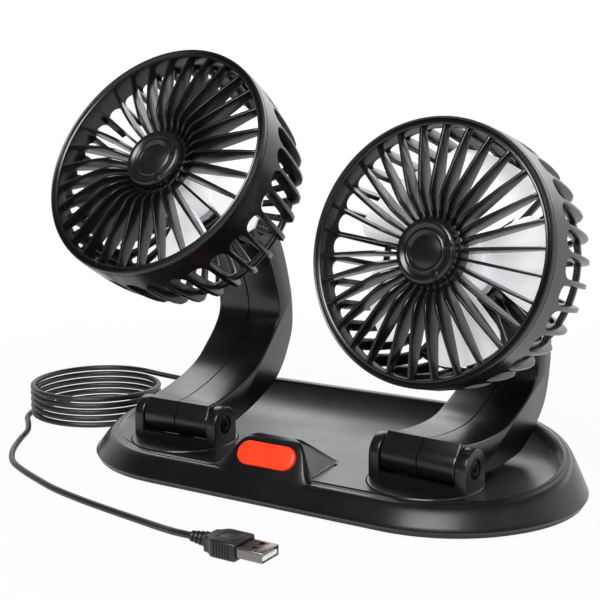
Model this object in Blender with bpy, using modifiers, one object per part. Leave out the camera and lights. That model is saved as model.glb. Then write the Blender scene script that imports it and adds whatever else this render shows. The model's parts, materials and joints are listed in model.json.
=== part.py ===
"""Dual head car fan. Metres, +Z up, the button side faces -Y.

The base stands on z = 0. Each side is a chain: turntable, arm, head, impeller. Each link of
the chain hangs under an empty that sits on its joint's axis.
"""

import math

import bmesh
import bpy
from mathutils import Matrix, Vector

# Fits
FIT = 0.0003  # gap between pieces that touch or sit in each other
OVERRUN = 0.004  # how far a cutter passes the wall it cuts
LAP = 0.0008  # how deep shapes that become one piece reach into each other
MERGE = 0.00001  # points closer than this are one point

# Base housing
BASE_LENGTH = 0.250
BASE_DEPTH = 0.130
FOOT_HEIGHT = 0.0012  # the shell's edge above the table
LIP_HEIGHT = 0.0025
WALL = 0.0024
DECK_HEIGHT = 0.0132
RIM_INSET = 0.0104
RIM_WIDTH = 0.0020
RIM_STEP = 0.0017
RIM_FRONT_HEIGHT = 0.0124
RIM_MIDDLE_HEIGHT = 0.0161
RIM_REAR_HEIGHT = 0.0259
# The skirt from its foot lip to the rim, as shares of the rim's inset and height.
SKIRT_SHARES = ((0.24, 0.12), (0.52, 0.38), (0.78, 0.74), (0.94, 0.95), (1, 1))
# The rim's inner slope, as shares of the step's width and of the height over the deck.
STEP_SHARES = ((0.35, 0.72), (1, 0))
BASE_ARC_STEPS = 14

# Tray at the rear of the deck
TRAY_START = 0.0044
TRAY_RISE = 0.0121
TRAY_CURVE = 3  # the power by which the floor steepens towards the rear
TRAY_STEPS = 7

# Button hump
HUMP_LEFT = -0.032
HUMP_WIDTH = 0.056
HUMP_HEIGHT = 0.0270
HUMP_FOOT_DEPTH = 0.0642
HUMP_FOOT_HEIGHT = 0.0025
HUMP_TOP_DEPTH = 0.0480
HUMP_TOP_WIDTH = 0.0065
HUMP_REAR_DEPTH = 0.0200
HUMP_BLEND = 0.0029
HUMP_END_SHARE = 0.3  # how deep the hump is at its two ends, as a share of its middle
HUMP_ROOT_DEPTH = 0.0300
HUMP_ROOT_HEIGHT = 0.0050
# The outline of the hump from the left, as shares of its width and of its height over the rim.
HUMP_SHARES = (
    (0, 0),
    (0.10, 0.12),
    (0.19, 0.46),
    (0.28, 0.88),
    (0.38, 1),
    (0.78, 1),
    (0.85, 0.86),
    (0.94, 0.20),
    (1, 0),
)

# Speed button, switch and board
BUTTON_LENGTH = 0.0300
BUTTON_WIDTH = 0.0112
BUTTON_X = -0.0012
BUTTON_HEIGHT = 0.0203
BUTTON_PROUD = 0.0014
BUTTON_ROUND = 0.0007
ROUND_SHARE = 0.35  # where the middle of a rounded edge lies between its two ends
BUTTON_FLANGE = 0.0008
BUTTON_SINK = 0.0040
BUTTON_ARC_STEPS = 5
SWITCH_SIDE = 0.0060
SWITCH_TOP = 0.0050
SWITCH_HEIGHT = 0.0027
PLUNGER_RADIUS = 0.0016
PLUNGER_HEIGHT = 0.0006
BOARD_THICKNESS = 0.0012
BOARD_LENGTH = 0.0330
BOARD_WIDTH = 0.0130
POCKET_DEPTH = 0.0140

# Bottom cover, pad and screws
PAD_THICKNESS = 0.0012
PAD_MARGIN = 0.0010
PLATE_THICKNESS = 0.0022
# Where the screws sit, as shares of the base's length and depth.
SCREW_SHARES = ((0.368, 0.185), (-0.368, 0.185), (0.124, -0.315), (-0.124, -0.315))
SCREW_HEAD_RADIUS = 0.0028
SCREW_HEAD_HEIGHT = 0.0014
SCREW_RADIUS = 0.0013
SCREW_LENGTH = 0.0075
SCREW_TIP_SHARE = 0.5  # the tip's radius, of the shank's
SCREW_DOME_SHARE = 0.4  # where the head starts to round, of its height
SCREW_CROWN_SHARE = 0.7  # the flat crown's radius, of the head's
SCREW_STEPS = 8
BOSS_RADIUS = 0.0034

# Turntables
TURN_X = 0.065
TURN_Y = -0.02775
DISC_RADIUS = 0.0258
DISC_RISE = 0.0005
DISC_EDGE = 0.0006
WELL_DEPTH = 0.0022
WELL_FLOOR = 0.0030
WELL_RIM = 0.0030
STEM_RADIUS = 0.0090
STEM_BORE_RADIUS = 0.0045
RETAINER_RADIUS = 0.0140
RETAINER_THICKNESS = 0.0020
DISC_STEPS = 28

# Fold hinge
HINGE_HEIGHT = 0.02288
BARREL_RADIUS = 0.00826
EAR_INNER = 0.0190
EAR_OUTER = 0.0242
EAR_RADIUS = 0.0088
EAR_STEPS = 8
APRON_DEPTH = 0.0080
APRON_BACK = 0.0010
APRON_DROP = 0.0030
PIN_RADIUS = 0.0025
PIN_HEAD_RADIUS = 0.0040
PIN_HEAD_HEIGHT = 0.0012
PIN_STEPS = 12

# Arms
ARM_HALF_WIDTH = 0.0187
ARM_LENGTH = 0.0988
KNUCKLE_RADIUS = 0.0080
SLOT_HALF_WIDTH = 0.0093
SLOT_RADIUS = 0.0092
ARC_STEPS = 6
# The arm's side outline as shares of its length, backwards and upwards from the hinge axis.
ARM_FRONT_SHARES = (
    (-0.087, 0.066),
    (0.000, 0.115),
    (0.140, 0.226),
    (0.236, 0.330),
    (0.288, 0.434),
    (0.325, 0.530),
    (0.337, 0.620),
    (0.304, 0.700),
    (0.226, 0.785),
    (0.135, 0.865),
    (0.035, 0.925),
)
ARM_REAR_SHARES = (
    (0.159, 0.034),
    (0.262, 0.118),
    (0.352, 0.205),
    (0.436, 0.300),
    (0.482, 0.405),
    (0.497, 0.520),
    (0.492, 0.615),
    (0.448, 0.715),
    (0.382, 0.812),
    (0.245, 0.958),
    (0.120, 1.050),
)
POCKET_SHARE = 0.17  # wall of the arm's hollow as a share of its thickness
POCKET_FIRST = 1
POCKET_LAST = 8
ARM_WALL = 0.0022

# Heads, measured from the plane of the front bezel, backwards as negative heights
HEAD_REACH = 0.0704  # tilt axis to the bezel's plane
HEAD_RADIUS = 0.0580
BEZEL_THICKNESS = 0.0026
SPIGOT_OUTER = 0.0552
SPIGOT_INNER = 0.0536
SPIGOT_DEPTH = 0.0070
# The bezel's face, outside to inside: share of the bezel's width, and depth as a share of it.
BEZEL_SHARES = ((0, 0.33), (0.26, 0), (0.57, 0.16), (0.76, 0), (1, 0.20))
BEZEL_STEPS = 36

VANES = 30
VANE_THICKNESS = 0.0012
VANE_INNER = 0.0146
VANE_OUTER = 0.0546
VANE_FRONT_SHARES = ((0, -0.0875), (0.28, 0.075), (1, -0.02))
VANE_REAR_SHARES = ((1, -0.13), (0, -0.225))
HUB_OUTER = 0.0158
HUB_INNER = 0.0125
HUB_FRONT = 0.0034
HUB_REAR = 0.0092
HUB_STEPS = 16

CAP_RADIUS = 0.0144
CAP_SHARES = (
    (0, 0.150),
    (0.40, 0.115),
    (0.60, 0.060),
    (0.68, 0.020),
    (0.84, 0.095),
    (0.96, 0.020),
    (1, -0.205),
)
CAP_PLUG_DEPTH = 0.0068

FINS = 32
FIN_THICKNESS = 0.0023
CAGE_OUTER = 0.0576
CAGE_INNER = 0.0555
BAND_DEPTH = 0.0145
CAGE_DEPTH = 0.0510
CUP_OUTER = 0.0200
CUP_INNER = 0.0180
CUP_FRONT = 0.0380
CUP_FLOOR = 0.0024
# A fin's side as shares of the cage's radius and depth: outer edge, then inner edge.
FIN_SHARES = (
    (0.988, 0.22),
    (0.950, 0.66),
    (0.860, 0.985),
    (0.330, 0.985),
    (0.330, 0.925),
    (0.800, 0.905),
    (0.895, 0.22),
)
CAGE_STEPS = 16
NECK_HALF_WIDTH = 0.0090
NECK_HALF_HEIGHT = 0.0070
KNUCKLE_STEPS = 14

MOTOR_RADIUS = 0.0176
MOTOR_FRONT = 0.0362
MOTOR_COLLAR_RADIUS = 0.0050
MOTOR_COLLAR_HEIGHT = 0.0012
SHAFT_RADIUS = 0.0012
SHAFT_FRONT = 0.0190
SHAFT_SINK = 0.0060

IMPELLER_RADIUS = 0.0470
IMPELLER_FRONT = 0.0160
IMPELLER_REAR = 0.0338
IMPELLER_HUB_RADIUS = 0.0160
IMPELLER_HUB_FRONT = 0.0128
IMPELLER_HUB_WALL = 0.0020
BLADES = 5
BLADE_THICKNESS = 0.0014
BLADE_ANGLE = math.radians(58)
BLADE_CAMBER_SHARE = 0.16
# A blade's outline: share of the span, share of the blade's full angle; then shares across its width.
BLADE_SHARES = ((0, 0.80), (0.5, 1.0), (0.9, 0.93), (1, 0.76))
CHORD_SHARES = (-0.5, -0.17, 0.17, 0.5)

# Rest pose
REST = {
    "left": {"side": -1, "yaw": math.radians(0), "lean": math.radians(23.8), "tilt": math.radians(31)},
    "right": {"side": 1, "yaw": math.radians(-5), "lean": math.radians(41), "tilt": math.radians(13.5)},
}

# Cord
CORD_RADIUS = 0.0015
CORD_STEP = 0.0068
GLAND_X = -0.040
GLAND_HEIGHT = 0.0073
GLAND_INNER_Y = 0.0542
GLAND_FLANGE_RADIUS = 0.0033
GLAND_FLANGE = 0.0022
GLAND_SHAFT_RADIUS = 0.0026
GLAND_COLLAR_Y = 0.0654
GLAND_COLLAR_RADIUS = 0.0035
GLAND_COLLAR = 0.0020
GLAND_TIP_Y = 0.0730
GLAND_TIP_RADIUS = 0.0022
GLAND_STEPS = 12

COIL_X = -0.1615
COIL_Y = 0.0180
COIL_RADIUS = 0.0345
COIL_PITCH = 0.00347
COIL_TURNS = 5.25
COIL_START = math.radians(90)
COIL_STEPS = 24
COIL_BOTTOM = 0.0016

PLUG_X = 0.0040
PLUG_Y = -0.1146
PLUG_HEIGHT = 0.0039
BOOT_LENGTH = 0.0088
BOOT_START_RADIUS = 0.0023
BOOT_END_RADIUS = 0.0032
BOOT_RIBS = 3
BOOT_GROOVE = 0.0005
BOOT_STEPS = 12
BODY_LENGTH = 0.0165
BODY_WIDTH = 0.0150
BODY_THICKNESS = 0.0076
BODY_NECK_SHARE = 0.16
BODY_NECK_WIDTH = 0.0105
BODY_BEVEL = 0.0006
SHELL_WIDTH = 0.0120
SHELL_THICKNESS = 0.0045
SHELL_LENGTH = 0.0120
SHELL_SHEET = 0.0004
SHELL_SINK = 0.0050
INSERT_THICKNESS = 0.0018

# Route points of the free cord, in metres: chosen by hand along the cord in the picture.
LEAD_ROUTE = (
    (-0.0400, 0.0766, 0.0073),
    (-0.0432, 0.0838, 0.0073),
    (-0.0520, 0.0882, 0.0075),
    (-0.0680, 0.0892, 0.0080),
    (-0.0900, 0.0838, 0.0096),
    (-0.1120, 0.0736, 0.0122),
    (-0.1300, 0.0633, 0.0150),
    (-0.1440, 0.0562, 0.0178),
    (-0.1550, 0.0527, 0.0197),
)
RUN_ROUTE = (
    (-0.1959, 0.0117, 0.0016),
    (-0.1943, 0.0020, 0.0016),
    (-0.1880, -0.0092, 0.0016),
    (-0.1775, -0.0195, 0.0016),
    (-0.1680, -0.0300, 0.0016),
    (-0.1590, -0.0450, 0.0016),
    (-0.1480, -0.0610, 0.0016),
    (-0.1350, -0.0740, 0.0016),
    (-0.1200, -0.0822, 0.0016),
    (-0.1040, -0.0889, 0.0016),
    (-0.0890, -0.0945, 0.0016),
    (-0.0690, -0.0995, 0.0016),
    (-0.0500, -0.1032, 0.0016),
    (-0.0300, -0.1068, 0.0017),
    (-0.0160, -0.1103, 0.0023),
    (-0.0060, -0.1136, 0.0034),
)

# Materials: colour, roughness, metallic
MATERIALS = {
    "black_abs": ((0.020, 0.020, 0.021), 0.32, 0.0),
    "black_rubber": ((0.012, 0.012, 0.012), 0.85, 0.0),
    "orange_abs": ((1.0, 0.080, 0.021), 0.35, 0.0),
    "grey_blade_plastic": ((0.62, 0.63, 0.64), 0.30, 0.0),
    "steel": ((0.55, 0.55, 0.56), 0.30, 1.0),
    "nickel_plate": ((0.62, 0.61, 0.58), 0.25, 1.0),
    "green_board": ((0.015, 0.11, 0.035), 0.5, 0.0),
    "cord_pvc": ((0.015, 0.015, 0.016), 0.45, 0.0),
    "white_insert": ((0.80, 0.80, 0.78), 0.5, 0.0),
}

END_RADIUS = BASE_DEPTH / 2
END_X = BASE_LENGTH / 2 - END_RADIUS
PLATE_BOTTOM = PAD_THICKNESS + FIT
PLATE_TOP = PLATE_BOTTOM + PLATE_THICKNESS
CAVITY_TOP = DECK_HEIGHT - WALL
WELL_BOTTOM = DECK_HEIGHT - WELL_DEPTH
BOSS_BOTTOM = WELL_BOTTOM - WELL_FLOOR
STEM_BOTTOM = BOSS_BOTTOM - FIT
SCREW_PLACES = [(x * BASE_LENGTH, y * BASE_DEPTH) for x, y in SCREW_SHARES]

part_group = bpy.data.collections.new("dual_head_car_fan")
work_group = bpy.data.collections.new("work_shapes")


def clear_scene():
    for obj in list(bpy.data.objects):
        bpy.data.objects.remove(obj)
    bpy.context.scene.collection.children.link(part_group)
    bpy.context.scene.collection.children.link(work_group)
    work_group.hide_render = True


def work_object(mesh, place=None):
    """A shape on the way to a piece, kept out of the finished object."""
    obj = bpy.data.objects.new("shape", mesh)
    work_group.objects.link(obj)
    obj.hide_render = True
    obj.display_type = "WIRE"
    if place is not None:
        obj.data.transform(place)
    return obj


def settle(obj):
    """Applies the modifiers, so that the copies of a piece can share its mesh."""
    graph = bpy.context.evaluated_depsgraph_get()
    mesh = bpy.data.meshes.new_from_object(obj.evaluated_get(graph))
    obj.modifiers.clear()
    obj.data = mesh
    return obj


def combine(target, tool, operation):
    modifier = target.modifiers.new("combine", "BOOLEAN")
    modifier.operation = operation
    modifier.solver = "EXACT"
    modifier.object = tool
    settle(target)
    bpy.data.objects.remove(tool)
    return target


def unite(target, *tools):
    for tool in tools:
        combine(target, tool, "UNION")
    return target


def cut(target, *tools):
    for tool in tools:
        combine(target, tool, "DIFFERENCE")
    return target


def keep_common(target, tool):
    return combine(target, tool, "INTERSECT")


def shape_from(mesh_builder):
    mesh = bpy.data.meshes.new("shape")
    bmesh.ops.recalc_face_normals(mesh_builder, faces=mesh_builder.faces)
    mesh_builder.to_mesh(mesh)
    mesh_builder.free()
    return work_object(mesh)


def loft(rings, closed=False):
    """Skins rings of points. A closed loft joins its last ring to its first; an open one gets ends."""
    builder = bmesh.new()
    rows = [[builder.verts.new(point) for point in ring] for ring in rings]
    pairs = list(zip(rows, rows[1:]))
    if closed:
        pairs.append((rows[-1], rows[0]))
    for low, high in pairs:
        count = len(low)
        for i in range(count):
            j = (i + 1) % count
            builder.faces.new((low[i], low[j], high[j], high[i]))
    if not closed:
        builder.faces.new(reversed(rows[0]))
        builder.faces.new(rows[-1])
    return shape_from(builder)


def block(low, high):
    size = Vector(high) - Vector(low)
    middle = (Vector(high) + Vector(low)) / 2
    builder = bmesh.new()
    bmesh.ops.create_cube(builder, size=1, matrix=Matrix.Translation(middle) @ Matrix.Diagonal((*size, 1)))
    return shape_from(builder)


def rod(radius, start, end, steps, end_radius=None):
    """A round bar from one point to another."""
    start, end = Vector(start), Vector(end)
    along = end - start
    turn = Vector((0, 0, 1)).rotation_difference(along).to_matrix().to_4x4()
    builder = bmesh.new()
    bmesh.ops.create_cone(
        builder,
        cap_ends=True,
        segments=steps,
        radius1=radius,
        radius2=radius if end_radius is None else end_radius,
        depth=along.length,
        matrix=Matrix.Translation((start + end) / 2) @ turn,
    )
    return shape_from(builder)


def turned(profile, steps, ring=False):
    """Turns (radius, height) points about Z. They run down the outer side, and up the inner one of a ring."""
    mesh = bpy.data.meshes.new("profile")
    edges = [(i, i + 1) for i in range(len(profile) - 1)]
    if ring:
        edges.append((len(profile) - 1, 0))
    mesh.from_pydata([(radius, 0, height) for radius, height in profile], edges, [])
    obj = work_object(mesh)
    screw = obj.modifiers.new("turn", "SCREW")
    screw.axis = "Z"
    screw.steps = steps
    screw.render_steps = steps
    screw.use_merge_vertices = True
    screw.merge_threshold = MERGE
    screw.use_normal_calculate = True
    settle(obj)
    builder = bmesh.new()
    builder.from_mesh(obj.data)
    bpy.data.objects.remove(obj)
    bmesh.ops.remove_doubles(builder, verts=builder.verts, dist=MERGE)
    return shape_from(builder)


def extruded(outline, low, high):
    """An outline of (y, z) points, given thickness along X."""
    return loft([[(low, y, z) for y, z in outline], [(high, y, z) for y, z in outline]])


def finish(name, obj, material, angle=math.radians(32)):
    """The shape's mesh, shaded and coloured, ready to be used by one object or several."""
    mesh = obj.data
    bpy.data.objects.remove(obj)
    mesh.name = name
    mesh.materials.clear()
    mesh.materials.append(bpy.data.materials[material])
    mesh.shade_smooth()
    mesh.set_sharp_from_angle(angle=angle)
    return mesh


def add(name, mesh, parent=None, place=(0, 0, 0)):
    obj = bpy.data.objects.new(name, mesh)
    part_group.objects.link(obj)
    obj.location = place
    obj.parent = parent
    return obj


def make_materials():
    for name, (colour, roughness, metallic) in MATERIALS.items():
        material = bpy.data.materials.new(name)
        material.use_nodes = True
        shader = material.node_tree.nodes["Principled BSDF"]
        shader.inputs["Base Color"].default_value = (*colour, 1)
        shader.inputs["Roughness"].default_value = roughness
        shader.inputs["Metallic"].default_value = metallic
        material.diffuse_color = (*colour, 1)


def stadium(inset):
    """Points round the base's long oval, moved inwards, anticlockwise seen from above."""
    radius = END_RADIUS - inset
    points = []
    for side, first in ((1, -math.pi / 2), (-1, math.pi / 2)):
        for step in range(BASE_ARC_STEPS + 1):
            angle = first + math.pi * step / BASE_ARC_STEPS
            points.append((side * END_X + radius * math.cos(angle), radius * math.sin(angle)))
    return points


def flat_stadium(inset, low, high):
    outline = stadium(inset)
    return loft([[(x, y, z) for x, y in outline] for z in (low, high)])


def rim_height(y):
    """The rim climbs from the front to the rear in a shallow curve."""
    share = y / (END_RADIUS - RIM_INSET - RIM_WIDTH / 2)
    slope = (RIM_REAR_HEIGHT - RIM_FRONT_HEIGHT) / 2
    bend = (RIM_REAR_HEIGHT + RIM_FRONT_HEIGHT) / 2 - RIM_MIDDLE_HEIGHT
    return RIM_MIDDLE_HEIGHT + slope * share + bend * share * share


def skirt_rings(thickness, top):
    """The skirt's rings, moved inwards by a wall. With a top, they stop rising there."""
    lip = FOOT_HEIGHT + LIP_HEIGHT
    rings = []
    for inset_share, height_share in SKIRT_SHARES:
        ring = []
        for x, y in stadium(inset_share * RIM_INSET + thickness):
            height = lip + height_share * (rim_height(y) - lip)
            ring.append((x, y, height if top is None else min(height, top)))
        rings.append(ring)
    return rings


def tray_height(y):
    share = (y - TRAY_START) / (END_RADIUS - RIM_INSET - RIM_WIDTH - TRAY_START)
    return DECK_HEIGHT + TRAY_RISE * share**TRAY_CURVE


def tray_shape(drop, inset, bottom):
    """The tray's curved floor as a solid, or lowered as the hollow under it."""
    rear = END_RADIUS - inset
    outline = [(TRAY_START, bottom), (rear, bottom)]
    for step in range(TRAY_STEPS, -1, -1):
        y = TRAY_START + (rear - TRAY_START) * step / TRAY_STEPS
        outline.append((y, tray_height(y) - drop))
    shape = extruded(outline, -BASE_LENGTH / 2, BASE_LENGTH / 2)
    return keep_common(shape, flat_stadium(inset, 0, RIM_REAR_HEIGHT + OVERRUN))


def hump_front(height):
    """How far forward the hump's face is at a height."""
    share = (height - HUMP_FOOT_HEIGHT) / (HUMP_HEIGHT - HUMP_FOOT_HEIGHT)
    return -HUMP_FOOT_DEPTH + (HUMP_FOOT_DEPTH - HUMP_TOP_DEPTH) * share


def hump_shape():
    rings = []
    for along, up in HUMP_SHARES:
        x = HUMP_LEFT + HUMP_WIDTH * along
        height = RIM_FRONT_HEIGHT + (HUMP_HEIGHT - RIM_FRONT_HEIGHT) * up
        front = hump_front(height) + HUMP_BLEND * (1 - up) * (1 - up)
        spread = HUMP_END_SHARE + (1 - HUMP_END_SHARE) * up
        rear = front + HUMP_TOP_WIDTH * spread
        base = -END_RADIUS + RIM_INSET + (END_RADIUS - RIM_INSET - HUMP_REAR_DEPTH) * spread
        rings.append(
            [
                (x, -HUMP_FOOT_DEPTH, HUMP_FOOT_HEIGHT),
                (x, -HUMP_ROOT_DEPTH, HUMP_ROOT_HEIGHT),
                (x, base, DECK_HEIGHT - LAP),
                (x, rear, height),
                (x, front, height),
            ]
        )
    return loft(rings)


def face_frame():
    """The button's frame: X along the base, Y up the hump's face, Z out of it."""
    up = Vector((0, HUMP_FOOT_DEPTH - HUMP_TOP_DEPTH, HUMP_HEIGHT - HUMP_FOOT_HEIGHT)).normalized()
    along = Vector((1, 0, 0))
    out = along.cross(up)
    frame = Matrix((along, up, out)).transposed().to_4x4()
    frame.translation = (BUTTON_X, hump_front(BUTTON_HEIGHT), BUTTON_HEIGHT)
    return frame


def oval(length, width, height):
    """A ring of points round a long oval in the button's frame."""
    radius = width / 2
    points = []
    for side, first in ((1, -math.pi / 2), (-1, math.pi / 2)):
        for step in range(BUTTON_ARC_STEPS + 1):
            angle = first + math.pi * step / BUTTON_ARC_STEPS
            x = side * (length / 2 - radius) + radius * math.cos(angle)
            points.append((x, radius * math.sin(angle), height))
    return points


def make_base_shell():
    outer = [(x, y) for x, y in stadium(0)]
    rings = [[(x, y, FOOT_HEIGHT) for x, y in outer], [(x, y, FOOT_HEIGHT + LIP_HEIGHT) for x, y in outer]]
    rings += skirt_rings(0, None)
    rings.append([(x, y, rim_height(y)) for x, y in stadium(RIM_INSET + RIM_WIDTH)])
    for inset_share, height_share in STEP_SHARES:
        ring = stadium(RIM_INSET + RIM_WIDTH + inset_share * RIM_STEP)
        rings.append([(x, y, DECK_HEIGHT + height_share * (rim_height(y) - DECK_HEIGHT)) for x, y in ring])
    shell = loft(rings)
    unite(shell, tray_shape(0, RIM_INSET + RIM_WIDTH - LAP, DECK_HEIGHT - OVERRUN), hump_shape())

    inner = [(x, y) for x, y in stadium(WALL)]
    hollow = [[(x, y, -OVERRUN) for x, y in inner], [(x, y, PLATE_TOP) for x, y in inner]]
    hollow += skirt_rings(WALL, CAVITY_TOP)[:-1]
    hollow.append([(x, y, CAVITY_TOP) for x, y in stadium(RIM_INSET + RIM_WIDTH + WALL)])
    cut(shell, loft(hollow))
    cut(shell, tray_shape(WALL, RIM_INSET + RIM_WIDTH + WALL, CAVITY_TOP - LAP))

    frame = face_frame()
    flange = oval(BUTTON_LENGTH + 2 * FIT, BUTTON_WIDTH + 2 * FIT, 0)
    opening = loft([[(x, y, z) for x, y, _ in flange] for z in (-WALL - OVERRUN, BUTTON_PROUD + OVERRUN)])
    opening.data.transform(frame)
    pocket = block(
        (-BOARD_LENGTH / 2 - FIT, -BOARD_WIDTH / 2 - FIT, -POCKET_DEPTH),
        (BOARD_LENGTH / 2 + FIT, BOARD_WIDTH / 2 + FIT, -WALL),
    )
    pocket.data.transform(frame)
    cut(shell, opening, pocket)

    for x in (-TURN_X, TURN_X):
        boss_radius = DISC_RADIUS + WELL_RIM
        boss = rod(boss_radius, (x, TURN_Y, BOSS_BOTTOM), (x, TURN_Y, CAVITY_TOP + LAP), DISC_STEPS)
        unite(shell, keep_common(boss, flat_stadium(RIM_INSET, 0, RIM_REAR_HEIGHT)))
        top = RIM_REAR_HEIGHT + OVERRUN
        cut(
            shell,
            rod(DISC_RADIUS + FIT, (x, TURN_Y, WELL_BOTTOM), (x, TURN_Y, top), DISC_STEPS),
            rod(STEM_RADIUS + FIT, (x, TURN_Y, 0), (x, TURN_Y, top), DISC_STEPS // 2),
        )
    for x, y in SCREW_PLACES:
        ceiling = tray_height(max(y, TRAY_START)) - WALL
        unite(shell, rod(BOSS_RADIUS, (x, y, PLATE_TOP + FIT), (x, y, ceiling + 2 * LAP), SCREW_STEPS))
        hole_top = PLATE_BOTTOM + SCREW_LENGTH + FIT
        cut(shell, rod(SCREW_RADIUS + FIT, (x, y, 0), (x, y, hole_top), SCREW_STEPS))
    hole = rod(
        GLAND_SHAFT_RADIUS + FIT,
        (GLAND_X, GLAND_INNER_Y, GLAND_HEIGHT),
        (GLAND_X, GLAND_TIP_Y, GLAND_HEIGHT),
        GLAND_STEPS,
    )
    cut(shell, hole)
    return finish("base_shell", shell, "black_abs")


def make_base_bottom():
    plate = flat_stadium(WALL + FIT, PLATE_BOTTOM, PLATE_TOP)
    pad = flat_stadium(WALL + FIT + PAD_MARGIN, 0, PAD_THICKNESS)
    for x, y in SCREW_PLACES:
        head_top = PLATE_BOTTOM + SCREW_HEAD_HEIGHT + FIT
        wide = SCREW_HEAD_RADIUS + FIT
        cut(plate, rod(wide, (x, y, -OVERRUN), (x, y, head_top), SCREW_STEPS))
        cut(plate, rod(SCREW_RADIUS + FIT, (x, y, 0), (x, y, PLATE_TOP + OVERRUN), SCREW_STEPS))
        cut(pad, rod(wide, (x, y, -OVERRUN), (x, y, PAD_THICKNESS + OVERRUN), SCREW_STEPS))
    return finish("base_plate", plate, "black_abs"), finish("base_pad", pad, "black_rubber")


def make_base_screw():
    profile = [
        (0, SCREW_LENGTH),
        (SCREW_RADIUS * SCREW_TIP_SHARE, SCREW_LENGTH),
        (SCREW_RADIUS, SCREW_LENGTH - SCREW_RADIUS),
        (SCREW_RADIUS, SCREW_HEAD_HEIGHT),
        (SCREW_HEAD_RADIUS, SCREW_HEAD_HEIGHT),
        (SCREW_HEAD_RADIUS, SCREW_HEAD_HEIGHT * SCREW_DOME_SHARE),
        (SCREW_HEAD_RADIUS * SCREW_CROWN_SHARE, 0),
        (0, 0),
    ]
    return finish("base_screw", turned(profile, SCREW_STEPS), "steel")


def make_button():
    rows = (
        (BUTTON_FLANGE, -BUTTON_SINK),
        (BUTTON_FLANGE, -WALL - FIT),
        (0, -WALL - FIT),
        (0, BUTTON_PROUD - BUTTON_ROUND),
        (-BUTTON_ROUND * ROUND_SHARE, BUTTON_PROUD - BUTTON_ROUND * ROUND_SHARE),
        (-BUTTON_ROUND, BUTTON_PROUD),
    )
    rings = [oval(BUTTON_LENGTH + 2 * grow, BUTTON_WIDTH + 2 * grow, height) for grow, height in rows]
    return finish("speed_button", loft(rings), "orange_abs")


def make_switch():
    half = SWITCH_SIDE / 2
    low = -SWITCH_TOP - SWITCH_HEIGHT
    shape = block((-half, -half, low), (half, half, -SWITCH_TOP - PLUNGER_HEIGHT))
    plunger = rod(PLUNGER_RADIUS, (0, 0, low + LAP), (0, 0, -SWITCH_TOP), SCREW_STEPS)
    return finish("button_switch", unite(shape, plunger), "black_abs")


def make_board():
    top = -SWITCH_TOP - SWITCH_HEIGHT - FIT
    shape = block(
        (-BOARD_LENGTH / 2, -BOARD_WIDTH / 2, top - BOARD_THICKNESS),
        (BOARD_LENGTH / 2, BOARD_WIDTH / 2, top),
    )
    return finish("circuit_board", shape, "green_board")


def make_bracket():
    top = DECK_HEIGHT + DISC_RISE
    low = WELL_BOTTOM + FIT
    profile = [
        (STEM_BORE_RADIUS, top),
        (DISC_RADIUS - DISC_EDGE, top),
        (DISC_RADIUS, top - DISC_EDGE),
        (DISC_RADIUS, low),
        (STEM_RADIUS, low),
        (STEM_RADIUS, STEM_BOTTOM),
        (STEM_BORE_RADIUS, STEM_BOTTOM),
    ]
    shape = turned(profile, DISC_STEPS, ring=True)
    outline = [(-EAR_RADIUS, low + LAP), (EAR_RADIUS, low + LAP)]
    for step in range(EAR_STEPS + 1):
        angle = math.pi * step / EAR_STEPS
        outline.append((EAR_RADIUS * math.cos(angle), HINGE_HEIGHT + EAR_RADIUS * math.sin(angle)))
    unite(shape, extruded(outline, EAR_INNER, EAR_OUTER), extruded(outline, -EAR_OUTER, -EAR_INNER))
    apron = block(
        (-EAR_INNER - LAP, -APRON_DEPTH, low + LAP),
        (EAR_INNER + LAP, -APRON_BACK, HINGE_HEIGHT - APRON_DROP),
    )
    reach = EAR_INNER + LAP + FIT
    room = BARREL_RADIUS + 2 * FIT
    cut(apron, rod(room, (-reach, 0, HINGE_HEIGHT), (reach, 0, HINGE_HEIGHT), 2 * PIN_STEPS))
    unite(shape, apron)
    wide = EAR_OUTER + OVERRUN
    cut(shape, rod(PIN_RADIUS + FIT, (-wide, 0, HINGE_HEIGHT), (wide, 0, HINGE_HEIGHT), PIN_STEPS))
    for side in (-1, 1):
        inside = side * (EAR_OUTER - PIN_HEAD_HEIGHT - FIT)
        head = (side * wide, 0, HINGE_HEIGHT)
        cut(shape, rod(PIN_HEAD_RADIUS + FIT, (inside, 0, HINGE_HEIGHT), head, PIN_STEPS))
    return finish("swivel_bracket", shape, "black_abs")


def make_retainer():
    top = STEM_BOTTOM - FIT
    low = top - RETAINER_THICKNESS
    profile = [(STEM_BORE_RADIUS, top), (RETAINER_RADIUS, top), (RETAINER_RADIUS, low), (STEM_BORE_RADIUS, low)]
    return finish("swivel_retainer", turned(profile, HUB_STEPS, ring=True), "black_abs")


def make_pin(name, half_length):
    """A pin along X with a low round head at each end."""
    neck = half_length - PIN_HEAD_HEIGHT
    profile = [
        (0, half_length),
        (PIN_HEAD_RADIUS, half_length),
        (PIN_HEAD_RADIUS, neck),
        (PIN_RADIUS, neck),
        (PIN_RADIUS, -neck),
        (PIN_HEAD_RADIUS, -neck),
        (PIN_HEAD_RADIUS, -half_length),
        (0, -half_length),
    ]
    shape = turned(profile, PIN_STEPS)
    shape.data.transform(Matrix.Rotation(math.pi / 2, 4, "Y"))
    return finish(name, shape, "steel")


def arc(centre, radius, start, end):
    points = []
    for step in range(ARC_STEPS + 1):
        angle = start + (end - start) * step / ARC_STEPS
        points.append((centre[0] + radius * math.cos(angle), centre[1] + radius * math.sin(angle)))
    return points


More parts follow.
